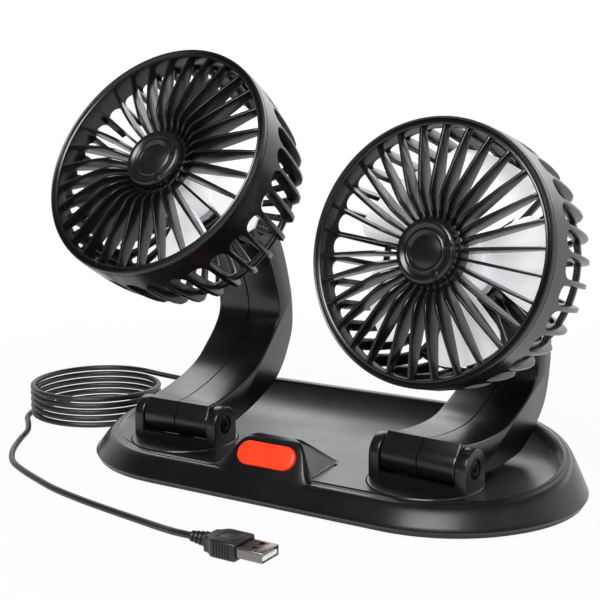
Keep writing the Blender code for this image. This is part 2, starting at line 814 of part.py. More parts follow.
def make_arm_half(side):
    """One half of the curved arm. Its outline runs up the front, round the knuckle and down the rear."""
    front = [(y * ARM_LENGTH, z * ARM_LENGTH) for y, z in ARM_FRONT_SHARES]
    rear = [(y * ARM_LENGTH, z * ARM_LENGTH) for y, z in ARM_REAR_SHARES]
    outline = arc((0, 0), BARREL_RADIUS, math.radians(-47), math.radians(-190))
    outline += front
    outline += arc((0, ARM_LENGTH), KNUCKLE_RADIUS, math.radians(-110), math.radians(-285))
    outline += rear[::-1]
    inner, outer = side * FIT / 2, side * ARM_HALF_WIDTH
    shape = extruded(outline, min(inner, outer), max(inner, outer))
    hollow = []
    pairs = list(zip(front, rear))[POCKET_FIRST : POCKET_LAST + 1]
    for near, far in pairs + [(rear_point, front_point) for front_point, rear_point in pairs[::-1]]:
        hollow.append([a + (b - a) * POCKET_SHARE for a, b in zip(near, far)])
    deep = side * (ARM_HALF_WIDTH - ARM_WALL)
    open_end = -side * OVERRUN
    cut(shape, extruded(hollow, min(open_end, deep), max(open_end, deep)))
    slot = side * SLOT_HALF_WIDTH
    pivot = (0, ARM_LENGTH)
    cut(shape, rod(SLOT_RADIUS, (open_end, *pivot), (slot, *pivot), 2 * KNUCKLE_STEPS))
    wide = side * (ARM_HALF_WIDTH + OVERRUN)
    bore = PIN_RADIUS + FIT
    cut(shape, rod(bore, (open_end, 0, 0), (wide, 0, 0), PIN_STEPS))
    cut(shape, rod(bore, (open_end, *pivot), (wide, *pivot), PIN_STEPS))
    recess = side * (ARM_HALF_WIDTH - PIN_HEAD_HEIGHT - FIT)
    cut(shape, rod(PIN_HEAD_RADIUS + FIT, (recess, *pivot), (wide, *pivot), PIN_STEPS))
    return finish("arm_half", shape, "black_abs")


def radial_bars(outline, thickness, count, start=0):
    """Flat bars cut from one (radius, height) outline and set round Z like spokes."""
    builder = bmesh.new()
    for index in range(count):
        turn = Matrix.Rotation(start + 2 * math.pi * index / count, 3, "Z")
        sides = []
        for side in (-thickness / 2, thickness / 2):
            sides.append([builder.verts.new(turn @ Vector((radius, side, height))) for radius, height in outline])
        low, high = sides
        builder.faces.new(low)
        builder.faces.new(reversed(high))
        for i in range(len(outline)):
            j = (i + 1) % len(outline)
            builder.faces.new((low[j], low[i], high[i], high[j]))
    return shape_from(builder)


def make_cage():
    outline = [(r * CAGE_OUTER, -z * CAGE_DEPTH) for r, z in FIN_SHARES]
    fins = radial_bars(outline, FIN_THICKNESS, FINS, math.pi / FINS)
    front = -BEZEL_THICKNESS - FIT
    band = turned(
        [(CAGE_OUTER, front), (CAGE_OUTER, -BAND_DEPTH), (CAGE_INNER, -BAND_DEPTH), (CAGE_INNER, front)],
        FINS,
        ring=True,
    )
    back = CAGE_DEPTH + LAP
    cup = turned(
        [
            (CUP_OUTER, -CUP_FRONT),
            (CUP_OUTER, -back),
            (0, -back),
            (0, CUP_FLOOR - back),
            (CUP_INNER, CUP_FLOOR - back),
            (CUP_INNER, -CUP_FRONT),
        ],
        CAGE_STEPS,
        ring=True,
    )
    pivot = -HEAD_REACH
    neck = block((-NECK_HALF_WIDTH, -NECK_HALF_HEIGHT, pivot), (NECK_HALF_WIDTH, NECK_HALF_HEIGHT, LAP - back))
    half = NECK_HALF_WIDTH
    knuckle = rod(KNUCKLE_RADIUS, (-half, 0, pivot), (half, 0, pivot), KNUCKLE_STEPS)
    shape = unite(band, fins, cup, unite(neck, knuckle))
    wide = half + OVERRUN
    cut(shape, rod(PIN_RADIUS + FIT, (-wide, 0, pivot), (wide, 0, pivot), PIN_STEPS))
    return finish("rear_cage", shape, "black_abs")


def make_grille():
    width = HEAD_RADIUS - SPIGOT_INNER
    profile = [(HEAD_RADIUS - x * width, -z * width) for x, z in BEZEL_SHARES]
    profile += [
        (SPIGOT_INNER, -SPIGOT_DEPTH),
        (SPIGOT_OUTER, -SPIGOT_DEPTH),
        (SPIGOT_OUTER, -BEZEL_THICKNESS),
        (HEAD_RADIUS, -BEZEL_THICKNESS),
    ]
    bezel = turned(profile[::-1], BEZEL_STEPS, ring=True)
    hub = turned(
        [(HUB_OUTER, -HUB_FRONT), (HUB_OUTER, -HUB_REAR), (HUB_INNER, -HUB_REAR), (HUB_INNER, -HUB_FRONT)],
        HUB_STEPS,
        ring=True,
    )
    span = VANE_OUTER - VANE_INNER
    outline = [(VANE_INNER + x * span, z * span) for x, z in VANE_FRONT_SHARES + VANE_REAR_SHARES]
    vanes = radial_bars(outline, VANE_THICKNESS, VANES, math.pi / VANES)
    return finish("front_grille", unite(bezel, hub, vanes), "black_abs")


def make_cap():
    profile = [(x * CAP_RADIUS, z * CAP_RADIUS) for x, z in CAP_SHARES]
    profile += [(HUB_INNER - FIT, profile[-1][1]), (HUB_INNER - FIT, -CAP_PLUG_DEPTH), (0, -CAP_PLUG_DEPTH)]
    return finish("hub_cap", turned(profile, HUB_STEPS), "black_abs")


def make_motor():
    back = CAGE_DEPTH + LAP - CUP_FLOOR - FIT
    profile = [
        (0, MOTOR_COLLAR_HEIGHT - MOTOR_FRONT),
        (MOTOR_COLLAR_RADIUS, MOTOR_COLLAR_HEIGHT - MOTOR_FRONT),
        (MOTOR_COLLAR_RADIUS, -MOTOR_FRONT),
        (MOTOR_RADIUS, -MOTOR_FRONT),
        (MOTOR_RADIUS, -back),
        (0, -back),
    ]
    shape = turned(profile, CAGE_STEPS)
    bottom = (0, 0, -MOTOR_FRONT - SHAFT_SINK)
    cut(shape, rod(SHAFT_RADIUS + FIT, bottom, (0, 0, 0), SCREW_STEPS))
    return finish("fan_motor", shape, "steel")


def make_shaft():
    bottom = -MOTOR_FRONT - SHAFT_SINK + FIT
    return finish("motor_shaft", rod(SHAFT_RADIUS, (0, 0, bottom), (0, 0, -SHAFT_FRONT), SCREW_STEPS), "steel")


def blade_shape(start):
    """One blade: a curved sheet, thick along the axis, that runs from the hub to the tip."""
    root = IMPELLER_HUB_RADIUS - LAP
    middle = (IMPELLER_FRONT + IMPELLER_REAR) / 2
    depth = IMPELLER_REAR - IMPELLER_FRONT - BLADE_THICKNESS
    rings = []
    for span, chord in BLADE_SHARES:
        radius = root + (IMPELLER_RADIUS - root) * span
        top, bottom = [], []
        for share in CHORD_SHARES:
            angle = start + share * chord * BLADE_ANGLE
            bend = BLADE_CAMBER_SHARE * (0.25 - share * share)
            height = -middle + depth * chord * (share + bend)
            across = Vector((math.cos(angle), math.sin(angle), 0)) * radius
            lift = Vector((0, 0, BLADE_THICKNESS / 2))
            centre = across + Vector((0, 0, height))
            top.append(centre + lift)
            bottom.append(centre - lift)
        rings.append(top + bottom[::-1])
    return loft(rings)


def make_impeller():
    front, rear = -IMPELLER_HUB_FRONT, -IMPELLER_REAR
    wall = IMPELLER_HUB_WALL
    inside = IMPELLER_HUB_RADIUS - wall
    profile = [
        (0, front),
        (inside, front),
        (IMPELLER_HUB_RADIUS, front - wall),
        (IMPELLER_HUB_RADIUS, rear),
        (SHAFT_RADIUS + FIT, rear),
        (SHAFT_RADIUS + FIT, FIT - SHAFT_FRONT),
        (0, FIT - SHAFT_FRONT),
    ]
    shape = turned(profile, HUB_STEPS)
    for index in range(BLADES):
        unite(shape, blade_shape(2 * math.pi * index / BLADES))
    return finish("impeller", shape, "grey_blade_plastic")


def hang(name, parent, place, turn):
    empty = bpy.data.objects.new(name, None)
    part_group.objects.link(empty)
    empty.parent = parent
    empty.location = place
    empty.rotation_euler = turn
    return empty


def place_sides(meshes):
    for name, pose in REST.items():
        swivel = hang(f"{name}_swivel_axis", None, (pose["side"] * TURN_X, TURN_Y, 0), (0, 0, pose["yaw"]))
        fold = hang(f"{name}_fold_axis", swivel, (0, 0, HINGE_HEIGHT), (-pose["lean"], 0, 0))
        turn = math.pi / 2 - pose["tilt"] + pose["lean"]
        tilt = hang(f"{name}_tilt_axis", fold, (0, 0, ARM_LENGTH), (turn, 0, 0))
        spin = hang(f"{name}_spin_axis", tilt, (0, 0, HEAD_REACH), (0, 0, 0))
        add(f"{name}_swivel_bracket", meshes["bracket"], swivel)
        add(f"{name}_swivel_retainer", meshes["retainer"], swivel)
        add(f"{name}_hinge_pin", meshes["hinge_pin"], swivel, (0, 0, HINGE_HEIGHT))
        add(f"{name}_arm_left_half", meshes["arm_left"], fold)
        add(f"{name}_arm_right_half", meshes["arm_right"], fold)
        add(f"{name}_tilt_pin", meshes["tilt_pin"], fold, (0, 0, ARM_LENGTH))
        for piece in ("rear_cage", "front_grille", "hub_cap", "fan_motor"):
            add(f"{name}_{piece}", meshes[piece], tilt, (0, 0, HEAD_REACH))
        for piece in ("motor_shaft", "impeller"):
            add(f"{name}_{piece}", meshes[piece], spin)


def smooth_path(points, step):
    """Points at even steps along a smooth curve through the route points."""
    knots = [Vector(point) for point in points]
    knots = [2 * knots[0] - knots[1], *knots, 2 * knots[-1] - knots[-2]]
    fine = []
    for a, b, c, d in zip(knots, knots[1:], knots[2:], knots[3:]):
        for i in range(16):
            t = i / 16
            fine.append(
                (2 * b + (c - a) * t + (2 * a - 5 * b + 4 * c - d) * t * t + (3 * b - a - 3 * c + d) * t**3) / 2
            )
    fine.append(knots[-2])
    lengths = [0]
    for a, b in zip(fine, fine[1:]):
        lengths.append(lengths[-1] + (b - a).length)
    count = max(2, round(lengths[-1] / step))
    path, index = [], 0
    for i in range(count + 1):
        target = lengths[-1] * i / count
        while index < len(fine) - 2 and lengths[index + 1] < target:
            index += 1
        share = (target - lengths[index]) / (lengths[index + 1] - lengths[index])
        path.append(fine[index].lerp(fine[index + 1], share))
    return path


def path_length(points):
    return sum((b - a).length for a, b in zip(points, points[1:]))


def make_tube(name, points, resolution):
    curve = bpy.data.curves.new(name, "CURVE")
    curve.dimensions = "3D"
    curve.bevel_depth = CORD_RADIUS
    curve.bevel_resolution = resolution
    curve.use_fill_caps = True
    spline = curve.splines.new("POLY")
    spline.points.add(len(points) - 1)
    for slot, point in zip(spline.points, points):
        slot.co = (*point, 1)
    obj = bpy.data.objects.new(name, curve)
    part_group.objects.link(obj)
    graph = bpy.context.evaluated_depsgraph_get()
    mesh = bpy.data.meshes.new_from_object(obj.evaluated_get(graph))
    bpy.data.objects.remove(obj)
    builder = bmesh.new()
    builder.from_mesh(mesh)
    bmesh.ops.remove_doubles(builder, verts=builder.verts, dist=MERGE)
    return add(name, finish(name, shape_from(builder), "cord_pvc", angle=math.radians(70)))


def coil_points():
    """The wound coil from its top loop down to its bottom one, with a short straight lead at each end."""
    count = round(COIL_TURNS * COIL_STEPS)
    drop = COIL_PITCH * COIL_TURNS
    points = []
    for step in range(count + 1):
        angle = COIL_START + 2 * math.pi * step / COIL_STEPS
        height = COIL_BOTTOM + drop * (1 - step / count)
        points.append(
            Vector((COIL_X + COIL_RADIUS * math.cos(angle), COIL_Y + COIL_RADIUS * math.sin(angle), height))
        )
    diameter = Vector((2 * CORD_RADIUS, 0, 0))
    points.insert(0, points[0] + diameter)
    points.append(points[-1] - Vector((0, 2 * CORD_RADIUS, 0)))
    return points


def coil_gap(points):
    """The least free space between two loops, measured on the points."""
    least = COIL_RADIUS
    far = COIL_STEPS // 2
    for i, a in enumerate(points):
        for b in points[i + far :]:
            least = min(least, (a - b).length)
    return least - 2 * CORD_RADIUS


def make_cord():
    coil = coil_points()
    gland_end = Vector((GLAND_X, GLAND_TIP_Y + FIT, GLAND_HEIGHT))
    lead_end = coil[0] + Vector((FIT, 0, 0))
    lead = smooth_path(LEAD_ROUTE, CORD_STEP)
    lead = [gland_end, *lead, lead_end]
    run_start = coil[-1] - Vector((0, FIT, 0))
    run_end = Vector((PLUG_X - FIT, PLUG_Y, PLUG_HEIGHT))
    run = smooth_path(RUN_ROUTE, CORD_STEP)
    run = [run_start, *run, run_end - Vector((2 * CORD_RADIUS, 0, 0)), run_end]
    make_tube("cord_lead", lead, 2)
    make_tube("cord_coil", coil, 1)
    make_tube("cord_run", run, 2)
    total = path_length(lead) + path_length(coil) + path_length(run)
    print(f"cord length {total:.3f} m, least gap in the coil {coil_gap(coil) * 1000:.2f} mm")


def make_gland():
    profile = [
        (0, GLAND_TIP_Y),
        (GLAND_TIP_RADIUS, GLAND_TIP_Y),
        (GLAND_COLLAR_RADIUS, GLAND_COLLAR_Y + GLAND_COLLAR),
        (GLAND_COLLAR_RADIUS, GLAND_COLLAR_Y),
        (GLAND_SHAFT_RADIUS, GLAND_COLLAR_Y),
        (GLAND_SHAFT_RADIUS, GLAND_INNER_Y + GLAND_FLANGE),
        (GLAND_FLANGE_RADIUS, GLAND_INNER_Y + GLAND_FLANGE),
        (GLAND_FLANGE_RADIUS, GLAND_INNER_Y),
        (0, GLAND_INNER_Y),
    ]
    shape = turned(profile, GLAND_STEPS)
    shape.data.transform(Matrix.Rotation(-math.pi / 2, 4, "X"))
    return finish("cord_gland", shape, "black_rubber")


def make_boot():
    """The plug's bend relief: a cone with ring grooves."""
    profile = [(0, BOOT_LENGTH)]
    pieces = 2 * BOOT_RIBS
    for step in range(pieces):
        for edge in (step, step + 1):
            share = 1 - edge / pieces
            radius = BOOT_START_RADIUS + (BOOT_END_RADIUS - BOOT_START_RADIUS) * share
            profile.append((radius - (BOOT_GROOVE if step % 2 else 0), BOOT_LENGTH * share))
    profile.append((0, 0))
    shape = turned(profile, BOOT_STEPS)
    shape.data.transform(Matrix.Rotation(math.pi / 2, 4, "Y"))
    return finish("plug_boot", shape, "black_rubber")


def make_plug():
    boot = make_boot()
    start = BOOT_LENGTH + FIT
    end = start + BODY_LENGTH
    half, neck = BODY_WIDTH / 2, BODY_NECK_WIDTH / 2
    waist = start + BODY_LENGTH * BODY_NECK_SHARE
    outline = [(start, -neck), (waist, -neck), (waist + half - neck, -half), (end, -half)]
    outline += [(x, -y) for x, y in outline[::-1]]
    low, high = -BODY_THICKNESS / 2, BODY_THICKNESS / 2
    body = loft([[(x, y, z) for x, y in outline] for z in (low, high)])
    bevel = body.modifiers.new("edges", "BEVEL")
    bevel.width = BODY_BEVEL
    bevel.segments = 1
    bevel.limit_method = "ANGLE"
    settle(body)
    wide, thick = SHELL_WIDTH / 2, SHELL_THICKNESS / 2
    sink = end - SHELL_SINK
    cut(body, block((sink, -wide - FIT, -thick - FIT), (end + OVERRUN, wide + FIT, thick + FIT)))
    tip = end + SHELL_LENGTH
    shell = block((sink + FIT, -wide, -thick), (tip, wide, thick))
    inner, under = wide - SHELL_SHEET, thick - SHELL_SHEET
    floor = sink + FIT + SHELL_SHEET
    cut(shell, block((floor, -inner, -under), (tip + OVERRUN, inner, under)))
    bar = block((floor + FIT, FIT - inner, FIT - under), (tip - FIT, inner - FIT, INSERT_THICKNESS + FIT - under))
    return {
        "plug_boot": boot,
        "plug_body": finish("plug_body", body, "cord_pvc"),
        "plug_shell": finish("plug_shell", shell, "nickel_plate"),
        "plug_insert": finish("plug_insert", bar, "white_insert"),
    }


def build():
    clear_scene()
    make_materials()
    add("base_shell", make_base_shell())
    plate, pad = make_base_bottom()
    add("base_plate", plate)
    add("base_pad", pad)
    screw = make_base_screw()
    for number, (x, y) in enumerate(SCREW_PLACES, 1):
        add(f"base_screw_{number}", screw, place=(x, y, PLATE_BOTTOM))
    frame = face_frame()
    button_axis = hang("button_axis", None, frame.translation, frame.to_euler())
    add("speed_button", make_button(), button_axis)
    add("button_switch", make_switch(), button_axis)
    add("circuit_board", make_board(), button_axis)
    place_sides(
        {
            "bracket": make_bracket(),
            "retainer": make_retainer(),
            "hinge_pin": make_pin("hinge_pin", EAR_OUTER),
            "arm_left": make_arm_half(-1),
            "arm_right": make_arm_half(1),
            "tilt_pin": make_pin("tilt_pin", ARM_HALF_WIDTH),
            "rear_cage": make_cage(),
            "front_grille": make_grille(),
            "hub_cap": make_cap(),
            "fan_motor": make_motor(),
            "motor_shaft": make_shaft(),
            "impeller": make_impeller(),
        }
    )
    add("cord_gland", make_gland(), place=(GLAND_X, 0, GLAND_HEIGHT))
    make_cord()
    for name, mesh in make_plug().items():
        add(name, mesh, place=(PLUG_X, PLUG_Y, PLUG_HEIGHT))


build()
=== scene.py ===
"""Dual head car fan: the dressed model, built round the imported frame. Metres, +Z up, button side to -Y."""

import json
import math

import bmesh
import bpy
from mathutils import Matrix, Vector, kdtree

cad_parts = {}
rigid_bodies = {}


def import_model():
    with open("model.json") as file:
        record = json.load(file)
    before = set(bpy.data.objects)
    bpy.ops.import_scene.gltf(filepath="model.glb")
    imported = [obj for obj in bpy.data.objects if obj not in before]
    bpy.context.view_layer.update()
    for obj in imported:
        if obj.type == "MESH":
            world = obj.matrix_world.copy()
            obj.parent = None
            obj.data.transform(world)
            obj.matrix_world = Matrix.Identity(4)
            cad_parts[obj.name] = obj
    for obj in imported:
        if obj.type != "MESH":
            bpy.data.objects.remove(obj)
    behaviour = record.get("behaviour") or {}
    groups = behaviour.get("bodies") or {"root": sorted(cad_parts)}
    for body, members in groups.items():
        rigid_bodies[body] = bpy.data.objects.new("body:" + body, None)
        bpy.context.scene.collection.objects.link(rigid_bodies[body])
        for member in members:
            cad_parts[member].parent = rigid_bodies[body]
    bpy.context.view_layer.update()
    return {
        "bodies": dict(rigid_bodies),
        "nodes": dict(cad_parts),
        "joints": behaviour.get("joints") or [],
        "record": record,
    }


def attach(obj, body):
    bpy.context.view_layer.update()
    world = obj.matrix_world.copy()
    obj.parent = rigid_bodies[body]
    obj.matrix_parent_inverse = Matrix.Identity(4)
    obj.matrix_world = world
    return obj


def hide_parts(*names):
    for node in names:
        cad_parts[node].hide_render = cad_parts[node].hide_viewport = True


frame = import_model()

MM = 0.001

# Fits, as in the part
FIT = 0.0003  # gap between pieces that touch or sit in each other
LAP = 0.0008  # how deep shapes that become one piece reach into each other
OVERRUN = 0.0040  # how far a cutter passes the wall it cuts
CUT_TOP = 0.0300  # above the deck, where the wells' cutters end

# Where the picture was taken from
CAMERA_PLACE = (0.29175, -0.49463, 0.18133)
CAMERA_AIM = (-0.01182, -0.00730, 0.08278)
CAMERA_LENS = 74.48  # mm, on a 36 mm sensor
SENSOR_WIDTH = 36

# Where the turntables, hinges and heads lie, as in the part
TURN_X = 0.065
TURN_Y = -0.02775
HINGE_HEIGHT = 0.02288
ARM_LENGTH = 0.0988
HEAD_REACH = 0.0704
# The rest pose: each side's hand, then its swivel, lean of the arm and tilt of the head in degrees
REST = {
    "left": (-1, 0.0, 23.8, 31.0),
    "right": (1, -5.0, 41.0, 13.5),
}

# The base, as in the part but for its foot, the skirt's line and the rim's crown
END_X = 0.060
END_RADIUS = 0.065
FOOT_HEIGHT = 0.0012
LIP_TOP = 0.0037
WALL = 0.0024
DECK = 0.0132
RIM_INSET = 0.0104
RIM_WIDTH = 0.0020
RIM_STEP = 0.0017
RIM_FRONT = 0.0124
RIM_MIDDLE = 0.0161
RIM_REAR = 0.0259
TRAY_START = 0.0044
TRAY_RISE = 0.0121
TRAY_CURVE = 3
# The turned-under foot: inset and height of each ring.
LIP_LINE = (
    (0.0013, FOOT_HEIGHT),
    (0.0011, 0.0027),
    (0.0006, 0.0029),
    (0.0002, 0.0032),
    (0, 0.0036),
    (0.0001, 0.0040),
)
# The skirt outside, and the hollow inside it, as shares of the rim's inset and height.
SKIRT_SHARES = ((0, 0), (0.20, 0.28), (0.40, 0.56), (0.57, 0.79), (0.69, 0.92), (0.82, 0.985), (1, 1))
HOLLOW_SHARES = ((0.24, 0.12), (0.52, 0.38), (0.78, 0.74), (0.94, 0.95), (1, 1))
HOLLOW_LIP = 0.0038  # up to here the hollow goes straight up
# The rim's crown, as places across its width and rises over its edge.
RIM_CROWN = ((0.2, 0.00018), (0.45, 0.0003), (0.7, 0.00025))
# The rim's inner slope, as shares of the step's width and of the height over the deck.
STEP_SHARES = ((0, 1), (0.12, 0.97), (0.3, 0.80), (0.5, 0.52), (0.7, 0.25), (0.86, 0.08), (1, 0))
# The flat deck's first ring, and how far its rings run on inwards.
DECK_INSET = 0.0146
DECK_RUN = 0.0483
# Steps round an end and along a side of the base, up the skirt, down the rim's slope and over the deck.
END_STEPS = 56
RUN_STEPS = 44
SKIRT_STEPS = 16
SLOPE_STEPS = 8
DECK_STEPS = 26

# The button's hump, as in the part, with its edges rounded
HUMP_LEFT = -0.032
HUMP_WIDTH = 0.056
HUMP_FACE = ((-0.0642, 0.0025), (-0.0480, 0.0270))  # (y, z) of the face's foot and top
HUMP_TOP_WIDTH = 0.0065
HUMP_REAR_DEPTH = 0.0200
HUMP_ROOT = (-0.0300, 0.0050)
HUMP_END_SHARE = 0.3  # how deep the hump is where it starts, as a share of its middle
HUMP_BLENDS = (0.0029, 0.0008)  # how far the front draws back where the hump is low, left and right
HUMP_FOOT_SINK = (0.0010, 0.0015)  # how far back and up the foot lies from the face's own
HUMP_ROUND = 0.0012
HUMP_BEVEL = 0.0016  # what the front edge's rounding gains at the bevelled right end
HUMP_BEVEL_SHARES = (0.66, 0.10)  # where that gain starts and how long it grows, of the hump's width
HUMP_BACK_ROUND = 0.0022
HUMP_STEPS = 56
# The hump's outline from the left, as shares of its width and of its height over the rim.
HUMP_SHARES = (
    (0, 0),
    (0.10, 0.12),
    (0.19, 0.46),
    (0.28, 0.88),
    (0.38, 1),
    (0.78, 1),
    (0.85, 0.86),
    (0.94, 0.20),
    (1, 0),
)

# The arrow beside the button: its start, tip and foot in (x, y), and the slope that it is sunk into
ARROW_OUTLINE = ((0.0085, -0.0435), (0.0193, -0.0195), (0.0226, -0.0528))
ARROW_MIDDLE = (0.0168, -0.0386)
SLOPE_PLACE = (0.0095, -0.0400, 0.0255)
SLOPE_FALL = (1.043, 0.1116)  # metres down for a metre along X and along Y
ARROW_FLOOR_SHARE = 0.72
ARROW_SINK = 0.0007
ARROW_BRIM = 0.0002
ARROW_CUT_TOP = 0.0330
GROOVE_RADIUS = 0.0008
GROOVE_SHARES = (0.94, 0.02, 0.77)  # the upper groove's end, then the lower one's start and end

# Speed button and board
BUTTON_PLACE = (-0.0012, 0.0203)
BUTTON_LENGTH = 0.0300
BUTTON_WIDTH = 0.0112
BUTTON_CUT = (-0.0100, 0.0060)  # how far its opening's cutter reaches into the face and out of it
BUTTON_STEPS = 20
BOARD_HALF_LENGTH = 0.0165
BOARD_HALF_WIDTH = 0.0065
BOARD_CLIP = 0.0045
BOARD_TOP = -0.0080
BOARD_THICKNESS = 0.0012

# Bottom cover, pad and screws
PLATE_BOTTOM = 0.0015
PLATE_TOP = 0.0037
PAD_LINE = ((0.0041, 0), (0.0037, 0.0004), (0.0037, 0.0010), (0.0039, 0.0012))
SCREW_PLACES = ((0.0920, 0.02405), (-0.0920, 0.02405), (0.0310, -0.04095), (-0.0310, -0.04095))
SCREW_HEAD_RADIUS = 0.0028
SCREW_HEAD_HEIGHT = 0.0014
SCREW_RADIUS = 0.0013
SCREW_LENGTH = 0.0075
SCREW_CROSS_DEPTH = 0.0010
SCREW_SEAT = 0.0032
SHANK_HOLE_TOP = 0.0060
PAD_HOLE_BOTTOM = -0.0020

# Turntables, hinges and arms, as in the part but for their rounded edges
DISC_RADIUS = 0.0258
DISC_RISE = 0.0005
WELL_RIM = 0.0030
WELL_BOTTOM = 0.0110
BOSS_BOTTOM = 0.0080
BOSS_TOP = 0.0112
STEM_RADIUS = 0.0090
STEM_BORE_RADIUS = 0.0045
EAR_INNER = 0.0190
EAR_OUTER = 0.0242
EAR_RADIUS = 0.0088
APRON_DEPTH = 0.0080
APRON_BACK = 0.0010
APRON_TOP = 0.0158
APRON_GAP = 0.0006
BARREL_RADIUS = 0.00826
KNUCKLE_RADIUS = 0.0080
SLOT_RADIUS = 0.0092
SLOT_HALF_WIDTH = 0.0093
PIN_RADIUS = 0.0025
PIN_HEAD_RADIUS = 0.0040
PIN_HEAD_HEIGHT = 0.0012
PIN_SINK = 0.0002
PIN_CROSS_RADIUS = 0.0038
PIN_CROSS_DEPTH = 0.0008
BORE_REACH = 0.03  # how far the ears' cutters reach to both sides
ARM_HALF_WIDTH = 0.0187
ARM_WALL = 0.0022
ARM_STEPS = 5  # between each two points of the outline
# The arm's hollow: its wall as a share of the arm's thickness, and the outline's points that it lies between.
POCKET_SHARE = 0.17
POCKET_FIRST = 1
POCKET_LAST = 8
# The arm's edge from the seam outwards: distance from the seam, and inset from the outline.
ARM_EDGE = (
    (0.00015, 0.0004),
    (0.0004, 0.0),
    (0.0176, 0.0),
    (0.0181, 0.00012),
    (0.0185, 0.0004),
    (ARM_HALF_WIDTH, 0.0009),
)
# The arm's side outline as shares of its length, backwards and upwards from the hinge axis.
ARM_FRONT_SHARES = (
    (-0.087, 0.066),
    (0.000, 0.115),
    (0.140, 0.226),
    (0.236, 0.330),
    (0.288, 0.434),
    (0.325, 0.530),
    (0.337, 0.620),
    (0.304, 0.700),
    (0.226, 0.785),
    (0.135, 0.865),
    (0.035, 0.925),
)
ARM_REAR_SHARES = (
    (0.159, 0.034),
    (0.262, 0.118),
    (0.352, 0.205),
    (0.436, 0.300),
    (0.482, 0.405),
    (0.497, 0.520),
    (0.492, 0.615),
    (0.448, 0.715),
    (0.382, 0.812),
    (0.245, 0.958),
    (0.120, 1.050),
)

# The cord's route, as in the part, in finer steps
CORD_RADIUS = 0.0015
CORD_STEP = 0.0034
GLAND_END = (-0.0400, 0.0733, 0.0073)
GLAND_SHAFT_RADIUS = 0.0026
GLAND_CUT = (0.0540, 0.0700)
PLUG_PLACE = (0.0040, -0.1146, 0.0039)
COIL_CENTRE = (-0.1615, 0.0180)
COIL_RADIUS = 0.0345
COIL_PITCH = 0.00347
COIL_TURNS = 5.25
COIL_STEPS = 48
COIL_BOTTOM = 0.0016
ROUTE_STEPS = 16
LEAD_ROUTE = (
    (-0.0400, 0.0766, 0.0073),
    (-0.0432, 0.0838, 0.0073),
    (-0.0520, 0.0882, 0.0075),
    (-0.0680, 0.0892, 0.0080),
    (-0.0900, 0.0838, 0.0096),
    (-0.1120, 0.0736, 0.0122),
    (-0.1300, 0.0633, 0.0150),
    (-0.1440, 0.0562, 0.0178),
    (-0.1550, 0.0527, 0.0197),
)
RUN_ROUTE = (
    (-0.1959, 0.0117, 0.0016),
    (-0.1943, 0.0020, 0.0016),
    (-0.1880, -0.0092, 0.0016),
    (-0.1775, -0.0195, 0.0016),
    (-0.1680, -0.0300, 0.0016),
    (-0.1590, -0.0450, 0.0016),
    (-0.1480, -0.0610, 0.0016),
    (-0.1350, -0.0740, 0.0016),
    (-0.1200, -0.0822, 0.0016),
    (-0.1040, -0.0889, 0.0016),
    (-0.0890, -0.0945, 0.0016),
    (-0.0690, -0.0995, 0.0016),
    (-0.0500, -0.1032, 0.0016),
    (-0.0300, -0.1068, 0.0017),
    (-0.0160, -0.1103, 0.0023),
    (-0.0060, -0.1136, 0.0034),
)

# The plug, whose frame starts where the cord enters it
BODY_START = 0.0091
BODY_END = 0.0256
BODY_CORNER = 0.0012
# The body's stations: distance from its start, half width and half height.
BODY_STATIONS = (
    (0.0, 0.0046, 0.0030),
    (0.0003, 0.0050, 0.0034),
    (0.0020, 0.0052, 0.0036),
    (0.0028, 0.0055, 0.0037),
    (0.0040, 0.0066, 0.0038),
    (0.0050, 0.0073, 0.0038),
    (0.0058, 0.0075, 0.0038),
    (0.0158, 0.0075, 0.0038),
    (0.0163, 0.0073, 0.0036),
    (0.0165, 0.0069, 0.0032),
)
MOUTH_DEPTH = 0.0050
GRIPS = 6
GRIP_START = 0.0066
GRIP_PITCH = 0.0014
GRIP_WIDTH = 0.0005
GRIP_HALF_HEIGHT = 0.0026
GRIP_SIDES = (0.0071, 0.0090)  # the grooves' floor, and where their cutters end outside
# The panel on the body's top and the sunken rim round it: two corners each, from the body's start.
PANEL = ((0.0056, -0.0050, 0.0034), (0.0150, 0.0050, 0.0038))
PANEL_RIM = ((0.0052, -0.0054, 0.0036), (0.0154, 0.0054, 0.0050))
PANEL_NARROW_SHARE = 0.72
PANEL_NARROW_END = 0.0060
PANEL_ROUND = 0.00015
SHELL_START = 0.0209
SHELL_END = 0.0376
SHELL_HALF_WIDTH = 0.0060
SHELL_HALF_HEIGHT = 0.00225
SHELL_SHEET = 0.0004
SHELL_CORNER = 0.0007
SHELL_INNER_CORNER = 0.0004
HOLE_SIDE = 0.0028  # from the middle to each of the two holes
HOLE_HALF_WIDTH = 0.00125
HOLE_START = 0.0308
HOLE_LENGTH = 0.0022
HOLE_FLOOR = 0.0016  # how far from the middle the holes' cutters start
INSERT = ((0.0216, -0.0053, -0.00155), (0.0373, 0.0053, 0.00025))  # two corners
INSERT_ROUND = 0.0001
LANES = 4
LANE_SIDE = -0.0035
LANE_PITCH = 0.00233
LANE_HALF_WIDTH = 0.0005
LANE_ENDS = (0.0266, 0.0390)
LANE_CUT_TOP = 0.0010

